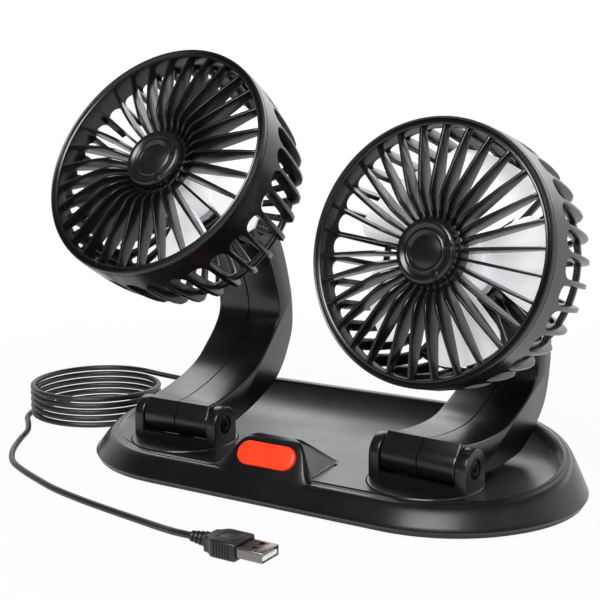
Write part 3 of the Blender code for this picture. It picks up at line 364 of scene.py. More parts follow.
# Heads, measured along +Z from the bezel's plane
VANES = 30
VANE_THICKNESS = 0.0012
FINS = 32
FIN_THICKNESS = 0.0023
BAND_POINTS = 12  # round the band, for each fin
BAND_REAR = -0.0150  # behind this height lie only the points of the band's rear edge
SCALLOP_RADIUS = 0.0045
BAND_MIDDLE_RADIUS = 0.0565
NECK_HALF_WIDTH = 0.0090
NECK_HALF_HEIGHT = 0.0070
NECK_FRONT = 0.0510
NECK_REAR = 0.0706
KNUCKLE_BORE_REACH = 0.0110
CAP_PAD_ANGLES = (18, -58)
CAP_PAD_RING = 0.0116
CAP_PAD_RADIUS = 0.0021
CAP_PAD_ENDS = (-0.0016, 0.0014)
BLADES = 5
BLADE_ROOT = 0.0152
IMPELLER_RADIUS = 0.0470
BLADE_ANGLE = math.radians(58)
BLADE_DEPTH = 0.0164
BLADE_MIDDLE = -0.0249
BLADE_THICKNESS = 0.0013
BLADE_CAMBER_SHARE = 0.16
# How much narrower a blade is at its root and at its tip, and where along it the tip's taper starts.
ROOT_TAPER_SHARE = 0.20
TIP_TAPER_SHARE = 0.24
TIP_START_SHARE = 0.72
TIP_CURVE = 2.4


# Materials


def linear(code):
    """An sRGB hex colour as linear light, with alpha."""
    levels = [int(code[i : i + 2], 16) / 255 for i in (1, 3, 5)]
    return (*[x / 12.92 if x <= 0.04045 else ((x + 0.055) / 1.055) ** 2.4 for x in levels], 1)


def add_node(material, kind, settings=None, inputs=None):
    """Adds one node: settings are its own options, and an input is a value or a socket to link."""
    made = material.node_tree.nodes.new(kind)
    for name, value in (settings or {}).items():
        setattr(made, name, value)
    for name, value in (inputs or {}).items():
        if isinstance(value, bpy.types.NodeSocket):
            link(material, value, made.inputs[name])
        else:
            made.inputs[name].default_value = value
    return made


def link(material, source, target):
    """Joins two sockets."""
    material.node_tree.links.new(source, target)


def start_material(name, **values):
    """A material with its Principled shader, whose plain values are set on the sockets."""
    material = bpy.data.materials.new(name)
    material.use_nodes = True
    shader = material.node_tree.nodes["Principled BSDF"]
    for key, value in values.items():
        shader.inputs[key.replace("_", " ")].default_value = value
    return material, shader


def vary(material, shader, noise, colours, rough):
    """Lets a noise move the colour between two tones and the roughness between two values."""
    tones = {0: noise, 6: linear(colours[0]), 7: linear(colours[1])}
    tint = add_node(material, "ShaderNodeMix", {"data_type": "RGBA"}, tones)
    link(material, tint.outputs[2], shader.inputs["Base Color"])
    span = {"Value": noise, "From Min": 0.3, "From Max": 0.7, "To Min": rough[0], "To Max": rough[1]}
    polish = add_node(material, "ShaderNodeMapRange", None, span)
    link(material, polish.outputs["Result"], shader.inputs["Roughness"])


def grained(name, colours, rough, grain, depth, patch=40 * MM, **values):
    """A solid finish whose colour and polish drift over patches, and whose gloss a fine grain breaks.

    A mould's real grain is about 0.05 mm. It is drawn coarser, so that it shows at all.
    """
    material, shader = start_material(name, **values)
    place = add_node(material, "ShaderNodeTexCoord").outputs["Object"]
    patches = {"Vector": place, "Scale": 1 / patch, "Detail": 3.0}
    drift = add_node(material, "ShaderNodeTexNoise", None, patches).outputs["Fac"]
    vary(material, shader, drift, colours, rough)
    grains = {"Vector": place, "Scale": 1 / grain, "Detail": 2.0}
    fine = add_node(material, "ShaderNodeTexNoise", None, grains).outputs["Fac"]
    relief = {"Height": fine, "Strength": 1.0, "Distance": depth}
    bump = add_node(material, "ShaderNodeBump", None, relief)
    link(material, bump.outputs["Normal"], shader.inputs["Normal"])
    return material


def make_moulded_abs():
    """Black ABS from a lightly spark-eroded mould: near black, a broad soft sheen, a faint orange peel."""
    colours = ("#08080A", "#0E0E10")
    return grained("moulded_black_abs", colours, (0.24, 0.31), 0.5 * MM, 0.004 * MM, IOR=1.53)


def make_grille_abs():
    """The same black ABS from a polished mould, as on the grilles: a tighter sheen along each edge."""
    colours = ("#0A0A0B", "#111112")
    return grained("polished_black_abs", colours, (0.22, 0.30), 0.4 * MM, 0.003 * MM, IOR=1.53)


def make_orange_abs():
    """Orange-red ABS of the button, moulded satin: one warm colour with a soft highlight at its edge."""
    colours = ("#E62D05", "#EC3608")
    return grained("moulded_orange_abs", colours, (0.34, 0.40), 0.6 * MM, 0.003 * MM, 8 * MM, IOR=1.46)


def make_blade_plastic():
    """Moulded AS resin of the blades: pale, slightly milky, lets some light through.

    A faint emission, a painted glow, lifts them behind the grilles, where little of the studio's light gets
    in.
    """
    milk_and_painted_glow = {"IOR": 1.45, "Transmission_Weight": 0.12}
    # Painted glow: this emission makes the blades shine though they are no lamp.
    milk_and_painted_glow.update({"Emission_Strength": 0.24, "Emission_Color": linear("#F4F6F8")})
    return grained("moulded_as_resin_painted_glow", ("#F2F3F4", "#FAFAFB"), (0.24, 0.32), 0.5 * MM, 0.003 * MM, **milk_and_painted_glow)


def make_rubber():
    """Moulded black nitrile rubber: dull, with a fine dusty grain."""
    colours = ("#0C0C0C", "#171717")
    return grained("moulded_nitrile_rubber", colours, (0.62, 0.78), 0.35 * MM, 0.02 * MM, IOR=1.52)


def make_cord_pvc():
    """Extruded soft PVC of the cord: black with a slightly greasy sheen and a faint ripple."""
    colours = ("#0C0C0D", "#141415")
    return grained("extruded_soft_pvc", colours, (0.36, 0.46), 0.9 * MM, 0.012 * MM, 20 * MM, IOR=1.54)


def make_plug_pvc():
    """Injection-moulded PVC of the plug's body: black, satin, finely eroded."""
    colours = ("#0D0D0E", "#161617")
    return grained("moulded_plug_pvc", colours, (0.38, 0.48), 0.3 * MM, 0.01 * MM, 10 * MM, IOR=1.54)


def make_nickel():
    """Nickel plate on drawn steel sheet: warm bright metal with faint drawing lines along the shell.

    Real lines lie closer together. They are drawn 0.25 mm apart, so that they show.
    """
    line_length, line_gap = 50 / 3 * MM, 0.25 * MM
    material, shader = start_material("nickel_plated_steel", Metallic=1.0)
    place = add_node(material, "ShaderNodeTexCoord").outputs["Object"]
    stretch = {"Vector": place, "Scale": (1 / line_length, 1 / line_gap, 1 / line_gap)}
    along = add_node(material, "ShaderNodeMapping", None, stretch).outputs["Vector"]
    lines = add_node(material, "ShaderNodeTexNoise", None, {"Vector": along, "Scale": 1.0})
    vary(material, shader, lines.outputs["Fac"], ("#75726D", "#8E8B86"), (0.22, 0.34))
    return material


def make_plated_steel(name, colours, rough):
    """Cut or drawn steel with a thin finish: fine turning marks vary its polish."""
    return grained(name, colours, rough, 0.4 * MM, 0.004 * MM, 6 * MM, Metallic=1.0)


def make_board_laminate():
    """Glass-epoxy laminate under green solder mask: an even green with a faint weave and a low gloss."""
    colours = ("#0E4A22", "#14602D")
    return grained("green_glass_epoxy", colours, (0.4, 0.5), 0.8 * MM, 0.01 * MM, 10 * MM, IOR=1.55)


def make_insert_plastic():
    """White PBT of the plug's tongue: matt and slightly warm."""
    colours = ("#E4E2DC", "#F0EEE9")
    return grained("moulded_white_pbt", colours, (0.45, 0.55), 0.4 * MM, 0.004 * MM, 5 * MM, IOR=1.55)


FINISH = {
    "abs": make_moulded_abs(),
    "grille": make_grille_abs(),
    "orange": make_orange_abs(),
    "blade": make_blade_plastic(),
    "rubber": make_rubber(),
    "cord": make_cord_pvc(),
    "plug": make_plug_pvc(),
    "nickel": make_nickel(),
    "screw": make_plated_steel("black_oxide_steel", ("#1A1A1B", "#26262A"), (0.30, 0.42)),
    "steel": make_plated_steel("zinc_plated_steel", ("#A9ABAE", "#C6C8CA"), (0.26, 0.36)),
    "board": make_board_laminate(),
    "insert": make_insert_plastic(),
}


# Curves and the cord


def curve_through(points, steps):
    """Points along a smooth curve through the given ones, with so many steps between each two."""
    knots = [Vector(point) for point in points]
    knots = [2 * knots[0] - knots[1], *knots, 2 * knots[-1] - knots[-2]]
    line = []
    for a, b, c, d in zip(knots, knots[1:], knots[2:], knots[3:]):
        for step in range(steps):
            t = step / steps
            point = 2 * b + (c - a) * t
            point += (2 * a - 5 * b + 4 * c - d) * t * t
            point += (3 * b - a - 3 * c + d) * t**3
            line.append(point / 2)
    line.append(knots[-2])
    return line


def smooth_line(points, count):
    """Even shares along a smooth curve through (x, y) pairs that run forward in x."""
    line = []
    for step in range(count + 1):
        x = points[0][0] + (points[-1][0] - points[0][0]) * step / count
        index = max(i for i in range(len(points) - 1) if i == 0 or points[i][0] <= x + 1e-9)
        (x0, y0), (x1, y1) = points[index], points[index + 1]
        before = points[index - 1] if index else points[0]
        after = points[index + 2] if index + 2 < len(points) else points[-1]
        span = x1 - x0
        slope0 = (y1 - before[1]) / (x1 - before[0]) * span
        slope1 = (after[1] - y0) / (after[0] - x0) * span
        t = (x - x0) / span
        y = (
            (2 * t**3 - 3 * t**2 + 1) * y0
            + (t**3 - 2 * t**2 + t) * slope0
            + (3 * t**2 - 2 * t**3) * y1
            + (t**3 - t**2) * slope1
        )
        line.append((x, y))
    return line


def smooth_route(route, step):
    """Even points along a smooth curve through the route."""
    fine = curve_through(route, ROUTE_STEPS)
    lengths = [0]
    for a, b in zip(fine, fine[1:]):
        lengths.append(lengths[-1] + (b - a).length)
    count = max(2, round(lengths[-1] / step))
    path, index = [], 0
    for i in range(count + 1):
        target = lengths[-1] * i / count
        while index < len(fine) - 2 and lengths[index + 1] < target:
            index += 1
        share = (target - lengths[index]) / (lengths[index + 1] - lengths[index])
        path.append(fine[index].lerp(fine[index + 1], share))
    return path


def coil_route():
    """The wound loops from the top one down, with a short straight lead at each end."""
    count = round(COIL_TURNS * COIL_STEPS)
    drop = COIL_PITCH * COIL_TURNS
    points = []
    for step in range(count + 1):
        angle = math.pi / 2 + 2 * math.pi * step / COIL_STEPS
        height = COIL_BOTTOM + drop * (1 - step / count)
        across = Vector((math.cos(angle), math.sin(angle))) * COIL_RADIUS
        points.append(Vector((COIL_CENTRE[0] + across.x, COIL_CENTRE[1] + across.y, height)))
    points.insert(0, points[0] + Vector((2 * CORD_RADIUS, 0, 0)))
    points.append(points[-1] - Vector((0, 2 * CORD_RADIUS, 0)))
    return points


def make_cord(fittings):
    """One free cord from the gland to the plug: a curve with a round section."""
    coil = coil_route()
    lead, run = smooth_route(LEAD_ROUTE, CORD_STEP), smooth_route(RUN_ROUTE, CORD_STEP)
    end = Vector(PLUG_PLACE) - Vector((FIT, 0, 0))
    route = [Vector(GLAND_END), *lead, *coil, *run, end - Vector((2 * CORD_RADIUS, 0, 0)), end]
    curve = bpy.data.curves.new("power_cord", "CURVE")
    curve.dimensions = "3D"
    curve.bevel_depth = CORD_RADIUS
    curve.bevel_resolution = 4
    curve.use_fill_caps = True
    spline = curve.splines.new("POLY")
    spline.points.add(len(route) - 1)
    for slot, point in zip(spline.points, route):
        slot.co = (*point, 1)
    cord = bpy.data.objects.new("power_cord", curve)
    bpy.context.scene.collection.objects.link(cord)
    curve.materials.append(FINISH["cord"])
    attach(cord, "base")
    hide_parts("cord_lead", "cord_coil", "cord_run")


# Shaping by hand


def choose(piece):
    """Selects the piece alone and makes it the active one."""
    bpy.ops.object.select_all(action="DESELECT")
    piece.select_set(True)
    bpy.context.view_layer.objects.active = piece


def begin(primitive, **settings):
    """Adds a primitive by itself and opens it, all selected, for shaping."""
    bpy.ops.object.select_all(action="DESELECT")
    primitive(**settings)
    bpy.ops.object.mode_set(mode="EDIT")
    bpy.ops.mesh.select_all(action="SELECT")


def reopen(piece):
    """Opens a shape once more, all selected, for shaping."""
    choose(piece)
    bpy.ops.object.mode_set(mode="EDIT")
    bpy.ops.mesh.select_all(action="SELECT")


def pick_points(test):
    """Selects only the points that pass the test."""
    bpy.ops.mesh.select_mode(type="VERT")
    bpy.ops.mesh.select_all(action="DESELECT")
    data = bpy.context.edit_object.data
    mesh = bmesh.from_edit_mesh(data)
    for point in mesh.verts:
        point.select_set(test(point.co))
    mesh.select_flush_mode()
    bmesh.update_edit_mesh(data)


def move_points(place):
    """Moves each selected point to where the rule puts it."""
    data = bpy.context.edit_object.data
    mesh = bmesh.from_edit_mesh(data)
    for point in mesh.verts:
        if point.select:
            point.co = place(point.co)
    bmesh.update_edit_mesh(data)


def close_up():
    """Ends the shaping: doubles merged, faces turned outwards, back to the object."""
    bpy.ops.mesh.select_mode(type="VERT")
    bpy.ops.mesh.select_all(action="SELECT")
    bpy.ops.mesh.remove_doubles(threshold=0.002 * MM)
    bpy.ops.mesh.normals_make_consistent(inside=False)
    bpy.ops.object.mode_set(mode="OBJECT")
    return bpy.context.object


def modify(piece, kind, **settings):
    """Puts a modifier on the piece and applies it."""
    choose(piece)
    modifier = piece.modifiers.new(kind.lower(), kind)
    for name, value in settings.items():
        setattr(modifier, name, value)
    bpy.ops.object.modifier_apply(modifier=modifier.name)
    return piece


def soften(piece, width, segments=2):
    """Rounds the sharp edges as a mould does."""
    sharp = math.radians(40)
    return modify(piece, "BEVEL", width=width, segments=segments, limit_method="ANGLE", angle_limit=sharp)


def cut_with(piece, cutter, operation="DIFFERENCE"):
    """Cuts the cutter out of the piece, or unites them, and removes the cutter."""
    modify(piece, "BOOLEAN", operation=operation, solver="EXACT", object=cutter)
    bpy.data.objects.remove(cutter)
    return piece


def join(piece, *others):
    """Makes the others part of the piece's mesh."""
    choose(piece)
    for other in others:
        other.select_set(True)
    bpy.ops.object.join()
    return piece


def lathe(profile, steps, ring=False):
    """A circle drawn out along (radius, height) stations, then closed at its ends or onto itself."""
    radius, height = profile[0]
    begin(bpy.ops.mesh.primitive_circle_add, vertices=steps, radius=radius)
    bpy.ops.transform.translate(value=(0, 0, height))
    for next_radius, next_height in profile[1:]:
        bpy.ops.mesh.extrude_region_move(TRANSFORM_OT_translate={"value": (0, 0, next_height - height)})
        growth = next_radius / radius
        bpy.ops.transform.resize(value=(growth, growth, 1), center_override=(0, 0, next_height))
        radius, height = next_radius, next_height
    bpy.ops.mesh.select_all(action="DESELECT")
    bpy.ops.mesh.select_non_manifold()
    if ring:
        bpy.ops.mesh.bridge_edge_loops()
    else:
        bpy.ops.mesh.fill_holes(sides=0)
    return close_up()


def draw_bar(sections, thickness):
    """A flat bar drawn out section by section; a section is its outer and inner (radius, height)."""
    begin(bpy.ops.mesh.primitive_plane_add, size=thickness)
    last = None
    for section in sections:
        if last:
            bpy.ops.mesh.extrude_region_move()

        def end_place(point, last=last, section=section):
            """Sends a point to the section's outer or inner end, whichever it lay at before."""
            if last:
                spans = [math.hypot(point.x - radius, point.z - height) for radius, height in last]
                at_outer = spans[0] < spans[1]
            else:
                at_outer = point.x > 0
            radius, height = section[0] if at_outer else section[1]
            return Vector((radius, math.copysign(thickness / 2, point.y), height))

        move_points(end_place)
        last = section
    return close_up()


def draw_out(sections):
    """A face with a corner for each point of the first section, drawn out through the other sections."""
    begin(bpy.ops.mesh.primitive_circle_add, vertices=len(sections[0]), fill_type="NGON")
    corners = iter(sections[0])
    move_points(lambda point: Vector(next(corners)))
    for last, section in zip(sections, sections[1:]):
        tree = kdtree.KDTree(len(last))
        for index, corner in enumerate(last):
            tree.insert(corner, index)
        tree.balance()
        bpy.ops.mesh.extrude_region_move()
        move_points(lambda point, tree=tree, section=section: Vector(section[tree.find(point)[1]]))
    return close_up()


def draw_rod(radius, start, end, steps=48):
    """A plain cylinder from one point to another, used to cut with or to build on."""
    start, end = Vector(start), Vector(end)
    turn = (end - start).to_track_quat("Z", "Y").to_euler()
    begin(
        bpy.ops.mesh.primitive_cylinder_add,
        vertices=steps,
        radius=radius,
        depth=(end - start).length,
        location=(start + end) / 2,
        rotation=turn,
    )
    bpy.ops.object.mode_set(mode="OBJECT")
    bpy.ops.object.transform_apply(location=True, rotation=True, scale=True)
    return bpy.context.object


def draw_box(low, high):
    """A plain box between two corners, used to cut with or to build on."""
    low, high = Vector(low), Vector(high)
    begin(bpy.ops.mesh.primitive_cube_add, size=1)
    bpy.ops.transform.resize(value=high - low)
    bpy.ops.transform.translate(value=(low + high) / 2)
    return close_up()


def bore(piece, radius, start, end, height, steps=48):
    """Cuts a round hole along X, at a height."""
    return cut_with(piece, draw_rod(radius, (start, 0, height), (end, 0, height), steps))


def spread(piece, count, start=0.0):
    """Sets copies of the whole piece round the Z axis."""
    reopen(piece)
    if start:
        turned = Matrix.Rotation(start, 3, "Z")
        move_points(lambda point: turned @ point)
    angle = 2 * math.pi * (count - 1) / count
    bpy.ops.mesh.spin(steps=count - 1, dupli=True, angle=angle, center=(0, 0, 0), axis=(0, 0, 1))
    bpy.ops.object.mode_set(mode="OBJECT")
    return piece


def finish_piece(piece, finish, angle=35):
    """Gives the piece its material, and smooths the shading over all but its sharp edges."""
    piece.data.materials.clear()
    piece.data.materials.append(FINISH[finish])
    choose(piece)
    bpy.ops.object.shade_smooth_by_angle(angle=math.radians(angle))
    return piece


def set_once(piece, name, body, place=None):
    """Puts a finished piece's place into its mesh, where it stands for its CAD node."""
    piece.name = f"{name}_shape"
    piece.data.name = piece.name
    choose(piece)
    piece.matrix_world = place or Matrix()
    bpy.ops.object.transform_apply(location=True, rotation=True, scale=True)
    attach(piece, body)
    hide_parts(name)
    return piece


def set_copies(piece, copies):
    """Sets a copy of the piece for each (node, body, place), with its own mesh, and removes the piece."""
    for name, body, place in copies:
        choose(piece)
        bpy.ops.object.duplicate(linked=False)
        set_once(bpy.context.object, name, body, place)
    bpy.data.objects.remove(piece)


def side_frames(side):
    """The places of one side's turntable, arm and front of the head."""
    hand, yaw, lean, tilt = REST[side]
    swivel = Matrix.Translation((hand * TURN_X, TURN_Y, 0)) @ Matrix.Rotation(math.radians(yaw), 4, "Z")
    fold = swivel @ Matrix.Translation((0, 0, HINGE_HEIGHT)) @ Matrix.Rotation(math.radians(-lean), 4, "X")
    turn = Matrix.Rotation(math.radians(90 - tilt + lean), 4, "X")
    pivot = fold @ Matrix.Translation((0, 0, ARM_LENGTH)) @ turn
    return {"swivel": swivel, "fold": fold, "head": pivot @ Matrix.Translation((0, 0, HEAD_REACH))}


def set_on_sides(piece, name, where, body):
    """Sets a copy of a finished piece on each side."""
    copies = [(f"{side}_{name}", f"{side}_{body}", side_frames(side)[where]) for side in REST]
    set_copies(piece, copies)


# The base, its button and its bottom


def long_oval(half_run, radius, arc_steps, run_steps=1):
    """Points round a long oval, anticlockwise: a half circle at each end and straight runs between them."""
    points = []
    for side in (1, -1):
        for step in range(arc_steps + 1):
            angle = math.pi * step / arc_steps - side * math.pi / 2
            points.append((side * half_run + radius * math.cos(angle), radius * math.sin(angle)))
        for step in range(1, run_steps):
            points.append((side * half_run * (1 - 2 * step / run_steps), side * radius))
    return points


def oval_ring(inset, height):
    """One ring round the housing, at one height or at heights that a rule gives for each y."""
    rule = height if callable(height) else lambda y: height
    return [Vector((x, y, rule(y))) for x, y in long_oval(END_X, END_RADIUS - inset, END_STEPS, RUN_STEPS)]


def rim_height(y):
    """The rim climbs from the front to the rear in a shallow curve."""
    share = y / (END_RADIUS - RIM_INSET - RIM_WIDTH / 2)
    climb = (RIM_REAR - RIM_FRONT) / 2
    swell = (RIM_REAR + RIM_FRONT) / 2 - RIM_MIDDLE
    return RIM_MIDDLE + climb * share + swell * share * share


def skirt_height(y, up):
    """A height on the skirt, as a share of the way from its lip to the rim."""
    return LIP_TOP + up * (rim_height(y) - LIP_TOP)


def tray_height(y):
    """The deck's height, which curves up behind the turntables into the tray."""
    share = max(0.0, (y - TRAY_START) / (END_RADIUS - RIM_INSET - RIM_WIDTH - TRAY_START))
    return DECK + TRAY_RISE * share**TRAY_CURVE


def draw_housing():
    """The solid outside: foot, skirt, crowned rim, and the sunken deck with its tray."""
    rings = [oval_ring(inset, height) for inset, height in LIP_LINE]
    for along, up in smooth_line(SKIRT_SHARES, SKIRT_STEPS)[1:]:
        rings.append(oval_ring(along * RIM_INSET, lambda y: skirt_height(y, up)))
    for along, rise in RIM_CROWN:
        rings.append(oval_ring(RIM_INSET + along * RIM_WIDTH, lambda y: rim_height(y) + rise))
    inside = RIM_INSET + RIM_WIDTH
    inner = [(inside + along * RIM_STEP, up) for along, up in smooth_line(STEP_SHARES, SLOPE_STEPS)]
    inner += [(DECK_INSET + DECK_RUN * step / DECK_STEPS, 0) for step in range(DECK_STEPS + 1)]
    for inset, up in inner:
        rings.append(oval_ring(inset, lambda y: max(DECK + up * (rim_height(y) - DECK), tray_height(y))))
    return draw_out(rings)


def draw_hollow():
    """The cutter that leaves the housing a wall, from below."""
    rings = [oval_ring(WALL, -OVERRUN), oval_ring(WALL, HOLLOW_LIP)]
    for along, up in HOLLOW_SHARES:
        rings.append(oval_ring(along * RIM_INSET + WALL, lambda y: min(DECK - WALL, skirt_height(y, up))))
    return draw_out(rings)


def corner_curve(before, corner, after, steps=5):
    """A rounded corner: points on the curve that leads from one line into the next."""
    points = []
    for step in range(steps + 1):
        t = step / steps
        points.append(before * (1 - t) ** 2 + corner * 2 * t * (1 - t) + after * t * t)
    return points


def towards(start, end, reach):
    """A step from one point to another, a third of the way at most."""
    way = end - start
    return way.normalized() * min(reach, way.length / 3)


def draw_hump():
    """The hump's sections from left to right. Its S-shaped left side flows out of the rim."""
    (low_y, low_z), (high_y, high_z) = HUMP_FACE
    rim = END_RADIUS - RIM_INSET
    bevel_start, bevel_run = HUMP_BEVEL_SHARES
    sections = []
    for along, up in smooth_line(HUMP_SHARES, HUMP_STEPS):
        up = min(1.0, max(0.0, up))
        on_left = along < 0.5
        x = HUMP_LEFT + HUMP_WIDTH * along
        height = RIM_FRONT + (high_z - RIM_FRONT) * up
        share = (height - low_z) / (high_z - low_z)
        blend = HUMP_BLENDS[0] if on_left else HUMP_BLENDS[1]
        front = low_y + (high_y - low_y) * share + blend * (1 - up) ** 2
        depth_share = HUMP_END_SHARE + (1 - HUMP_END_SHARE) * (up if on_left else 1)
        reach = HUMP_ROUND + HUMP_BEVEL * min(1.0, max(0.0, (along - bevel_start) / bevel_run))
        foot = Vector((x, low_y + HUMP_FOOT_SINK[0], low_z + HUMP_FOOT_SINK[1]))
        edge = Vector((x, front, height))
        back = Vector((x, front + HUMP_TOP_WIDTH * depth_share, height))
        end = Vector((x, (rim - HUMP_REAR_DEPTH) * depth_share - rim, DECK - LAP))
        down, across = towards(edge, foot, reach), towards(edge, back, reach)
        away = towards(back, end, HUMP_BACK_ROUND)
        front_corner = corner_curve(edge + down, edge, edge + across)
        back_corner = corner_curve(back - across, back, back + away)
        sections.append([foot, *front_corner, *back_corner, end, Vector((x, *HUMP_ROOT))])
    return draw_out(sections)


def slope_height(x, y):
    """The height of the slope that the arrow is sunk into."""
    return SLOPE_PLACE[2] - SLOPE_FALL[0] * (x - SLOPE_PLACE[0]) - SLOPE_FALL[1] * (y - SLOPE_PLACE[1])


def draw_arrow():
    """Cutters for the arrow: its sunken floor with sloping sides, and the grooves along two of its edges."""
    middle = Vector(ARROW_MIDDLE)
    bottom, brim = [], []
    for x, y in ARROW_OUTLINE:
        inner = middle + (Vector((x, y)) - middle) * ARROW_FLOOR_SHARE
        brim.append(Vector((x, y, slope_height(x, y) + ARROW_BRIM)))
        bottom.append(Vector((inner.x, inner.y, slope_height(inner.x, inner.y) - ARROW_SINK)))
    top = [Vector((point.x, point.y, ARROW_CUT_TOP)) for point in brim]
    start, tip, foot = [Vector((point.x, point.y, max(DECK, point.z))) for point in brim]
    upper_end, lower_start, lower_end = GROOVE_SHARES
    grooves = [
        draw_rod(GROOVE_RADIUS, start, start.lerp(tip, upper_end), 12),
        draw_rod(GROOVE_RADIUS, foot.lerp(tip, lower_start), foot.lerp(tip, lower_end), 12),
    ]
    return [draw_out([bottom, brim, top]), *grooves]


def face_frame():
    """The button's frame: X along the base, Y up the hump's face, Z out of it."""
    (low_y, low_z), (high_y, high_z) = HUMP_FACE
    up = Vector((0, high_y - low_y, high_z - low_z)).normalized()
    along = Vector((1, 0, 0))
    frame = Matrix((along, up, along.cross(up))).transposed().to_4x4()
    x, z = BUTTON_PLACE
    frame.translation = (x, low_y + (high_y - low_y) * (z - low_z) / (high_z - low_z), z)
    return frame


def button_ring(grow, height):
    """One ring round the button's long oval, moved outwards."""
    line = long_oval((BUTTON_LENGTH - BUTTON_WIDTH) / 2, BUTTON_WIDTH / 2 + grow, BUTTON_STEPS)
    return [Vector((x, y, height)) for x, y in line]


def make_base_shell():
    """Housing: its outside with hump and arrow, hollowed, with the button's opening, wells and gland hole."""
    shell = cut_with(draw_housing(), draw_hump(), "UNION")
    arrow, *grooves = draw_arrow()
    # The arrow's cut leaves open edges unless both meshes are triangles.
    modify(shell, "TRIANGULATE")
    cut_with(shell, modify(arrow, "TRIANGULATE"))
    for groove in grooves:
        cut_with(shell, groove)
    cut_with(shell, draw_hollow())
    opening = draw_out([button_ring(FIT, height) for height in BUTTON_CUT])
    opening.data.transform(face_frame())
    cut_with(shell, opening)
    for x in (-TURN_X, TURN_X):
        boss = draw_rod(DISC_RADIUS + WELL_RIM, (x, TURN_Y, BOSS_BOTTOM), (x, TURN_Y, BOSS_TOP), 96)
        cut_with(shell, boss, "UNION")
        for radius, bottom, steps in ((DISC_RADIUS + FIT, WELL_BOTTOM, 128), (STEM_RADIUS + FIT, 0, 64)):
            cut_with(shell, draw_rod(radius, (x, TURN_Y, bottom), (x, TURN_Y, CUT_TOP), steps))
    hole = [(GLAND_END[0], y, GLAND_END[2]) for y in GLAND_CUT]
    cut_with(shell, draw_rod(GLAND_SHAFT_RADIUS + FIT, *hole))
    return finish_piece(shell, "abs", 28)


def make_button():
    """Speed button: a flange below, and a long oval with a soft moulded edge and a faintly crowned face."""
    # How far each ring lies outside the oval, and its height over the hump's face.
    rings = (
        (0.0008, -0.0040),
        (0.0008, -0.0027),
        (0.0, -0.0027),
        (0.0, 0.0004),
        (-0.0001, 0.0008),
        (-0.0004, 0.0011),
        (-0.0008, 0.00128),
        (-0.0014, 0.00136),
        (-0.0034, 0.0014),
    )
    return finish_piece(draw_out([button_ring(grow, height) for grow, height in rings]), "orange", 50)


def make_base_bottom():
    """Bottom cover and rubber pad, each with the screws' holes."""
    plate = draw_out([oval_ring(WALL + FIT, height) for height in (PLATE_BOTTOM, PLATE_TOP)])
    pad = draw_out([oval_ring(inset, height) for inset, height in PAD_LINE])
    head, shank = SCREW_HEAD_RADIUS + FIT, SCREW_RADIUS + FIT
    # Each hole's piece, radius and two ends.
    holes = (
        (plate, head, 0, SCREW_SEAT),
        (plate, shank, 0, SHANK_HOLE_TOP),
        (pad, head, PAD_HOLE_BOTTOM, OVERRUN),
    )
    for x, y in SCREW_PLACES:
        for piece, radius, low, high in holes:
            cut_with(piece, draw_rod(radius, (x, y, low), (x, y, high), 32))
    return finish_piece(plate, "abs"), finish_piece(pad, "rubber")


def cut_cross(piece, radius, depth, height, turn):
    """Cuts the driver's cross into a head, as two crossed wedges that narrow downwards."""
    for angle in (0, math.pi / 2):
        turned = Matrix.Rotation(angle, 3, "Z")
        levels = []
        # Half the length and half the width of the wedge at its two ends, as shares of the head's radius.
        for long, wide, z in ((0.28, 0.10, height - depth), (0.62, 0.16, height + depth)):
            corners = ((long, wide), (-long, wide), (-long, -wide), (long, -wide))
            levels.append([turned @ Vector((radius * x, radius * y, z)) for x, y in corners])
        slot = draw_out(levels)
        slot.data.transform(Matrix.Rotation(turn, 4, "X"))
        cut_with(piece, slot)


def make_screw():
    """Base screw: a pan head with a cross recess, and a pointed shank."""
    profile = (
        (0.0003, SCREW_LENGTH),
        (0.0008, 0.0072),
        (SCREW_RADIUS, 0.0062),
        (SCREW_RADIUS, SCREW_HEAD_HEIGHT),
        (SCREW_HEAD_RADIUS, SCREW_HEAD_HEIGHT),
        (SCREW_HEAD_RADIUS, 0.0007),
        (0.0026, 0.0003),
        (0.0020, 0.0),
        (0.0004, 0.0),
    )
    screw = lathe(profile, 32)
    cut_cross(screw, SCREW_HEAD_RADIUS, SCREW_CROSS_DEPTH, 0.0, math.pi)
    return finish_piece(screw, "steel")


def make_board():
    """Circuit board behind the switch, its upper corners clipped to clear the hump's flanks."""
    long, high, clip = BOARD_HALF_LENGTH, BOARD_HALF_WIDTH, BOARD_CLIP
    right = ((long, -high), (long, high - clip), (long - clip, high))
    outline = (right[0], right[1], right[2], *[(-x, y) for x, y in right[::-1]])
    levels = (BOARD_TOP - BOARD_THICKNESS, BOARD_TOP)
    return finish_piece(draw_out([[Vector((x, y, z)) for x, y in outline] for z in levels]), "board")


def dress_base():
    """The pieces that stay with the base, and the button."""
    set_once(make_board(), "circuit_board", "base", face_frame())
    set_once(make_base_shell(), "base_shell", "base")
    plate, pad = make_base_bottom()
    set_once(plate, "base_plate", "base")
    set_once(pad, "base_pad", "base")
    places = [Matrix.Translation((x, y, PLATE_BOTTOM)) for x, y in SCREW_PLACES]
    screws = [(f"base_screw_{number}", "base", place) for number, place in enumerate(places, 1)]
    set_copies(make_screw(), screws)
    set_once(make_button(), "speed_button", "speed_button", face_frame())


# Turntables and arms


def arc_points(centre, radius, start, end, steps):
    """Points (y, z) along an arc, angles in degrees."""
    points = []
    for step in range(steps + 1):
        angle = math.radians(start + (end - start) * step / steps)
        points.append((centre[0] + radius * math.cos(angle), centre[1] + radius * math.sin(angle)))
    return points


def slab(outline, low, high):
    """An outline of (y, z) points, drawn out along X."""
    return draw_out([[Vector((x, y, z)) for y, z in outline] for x in (low, high)])


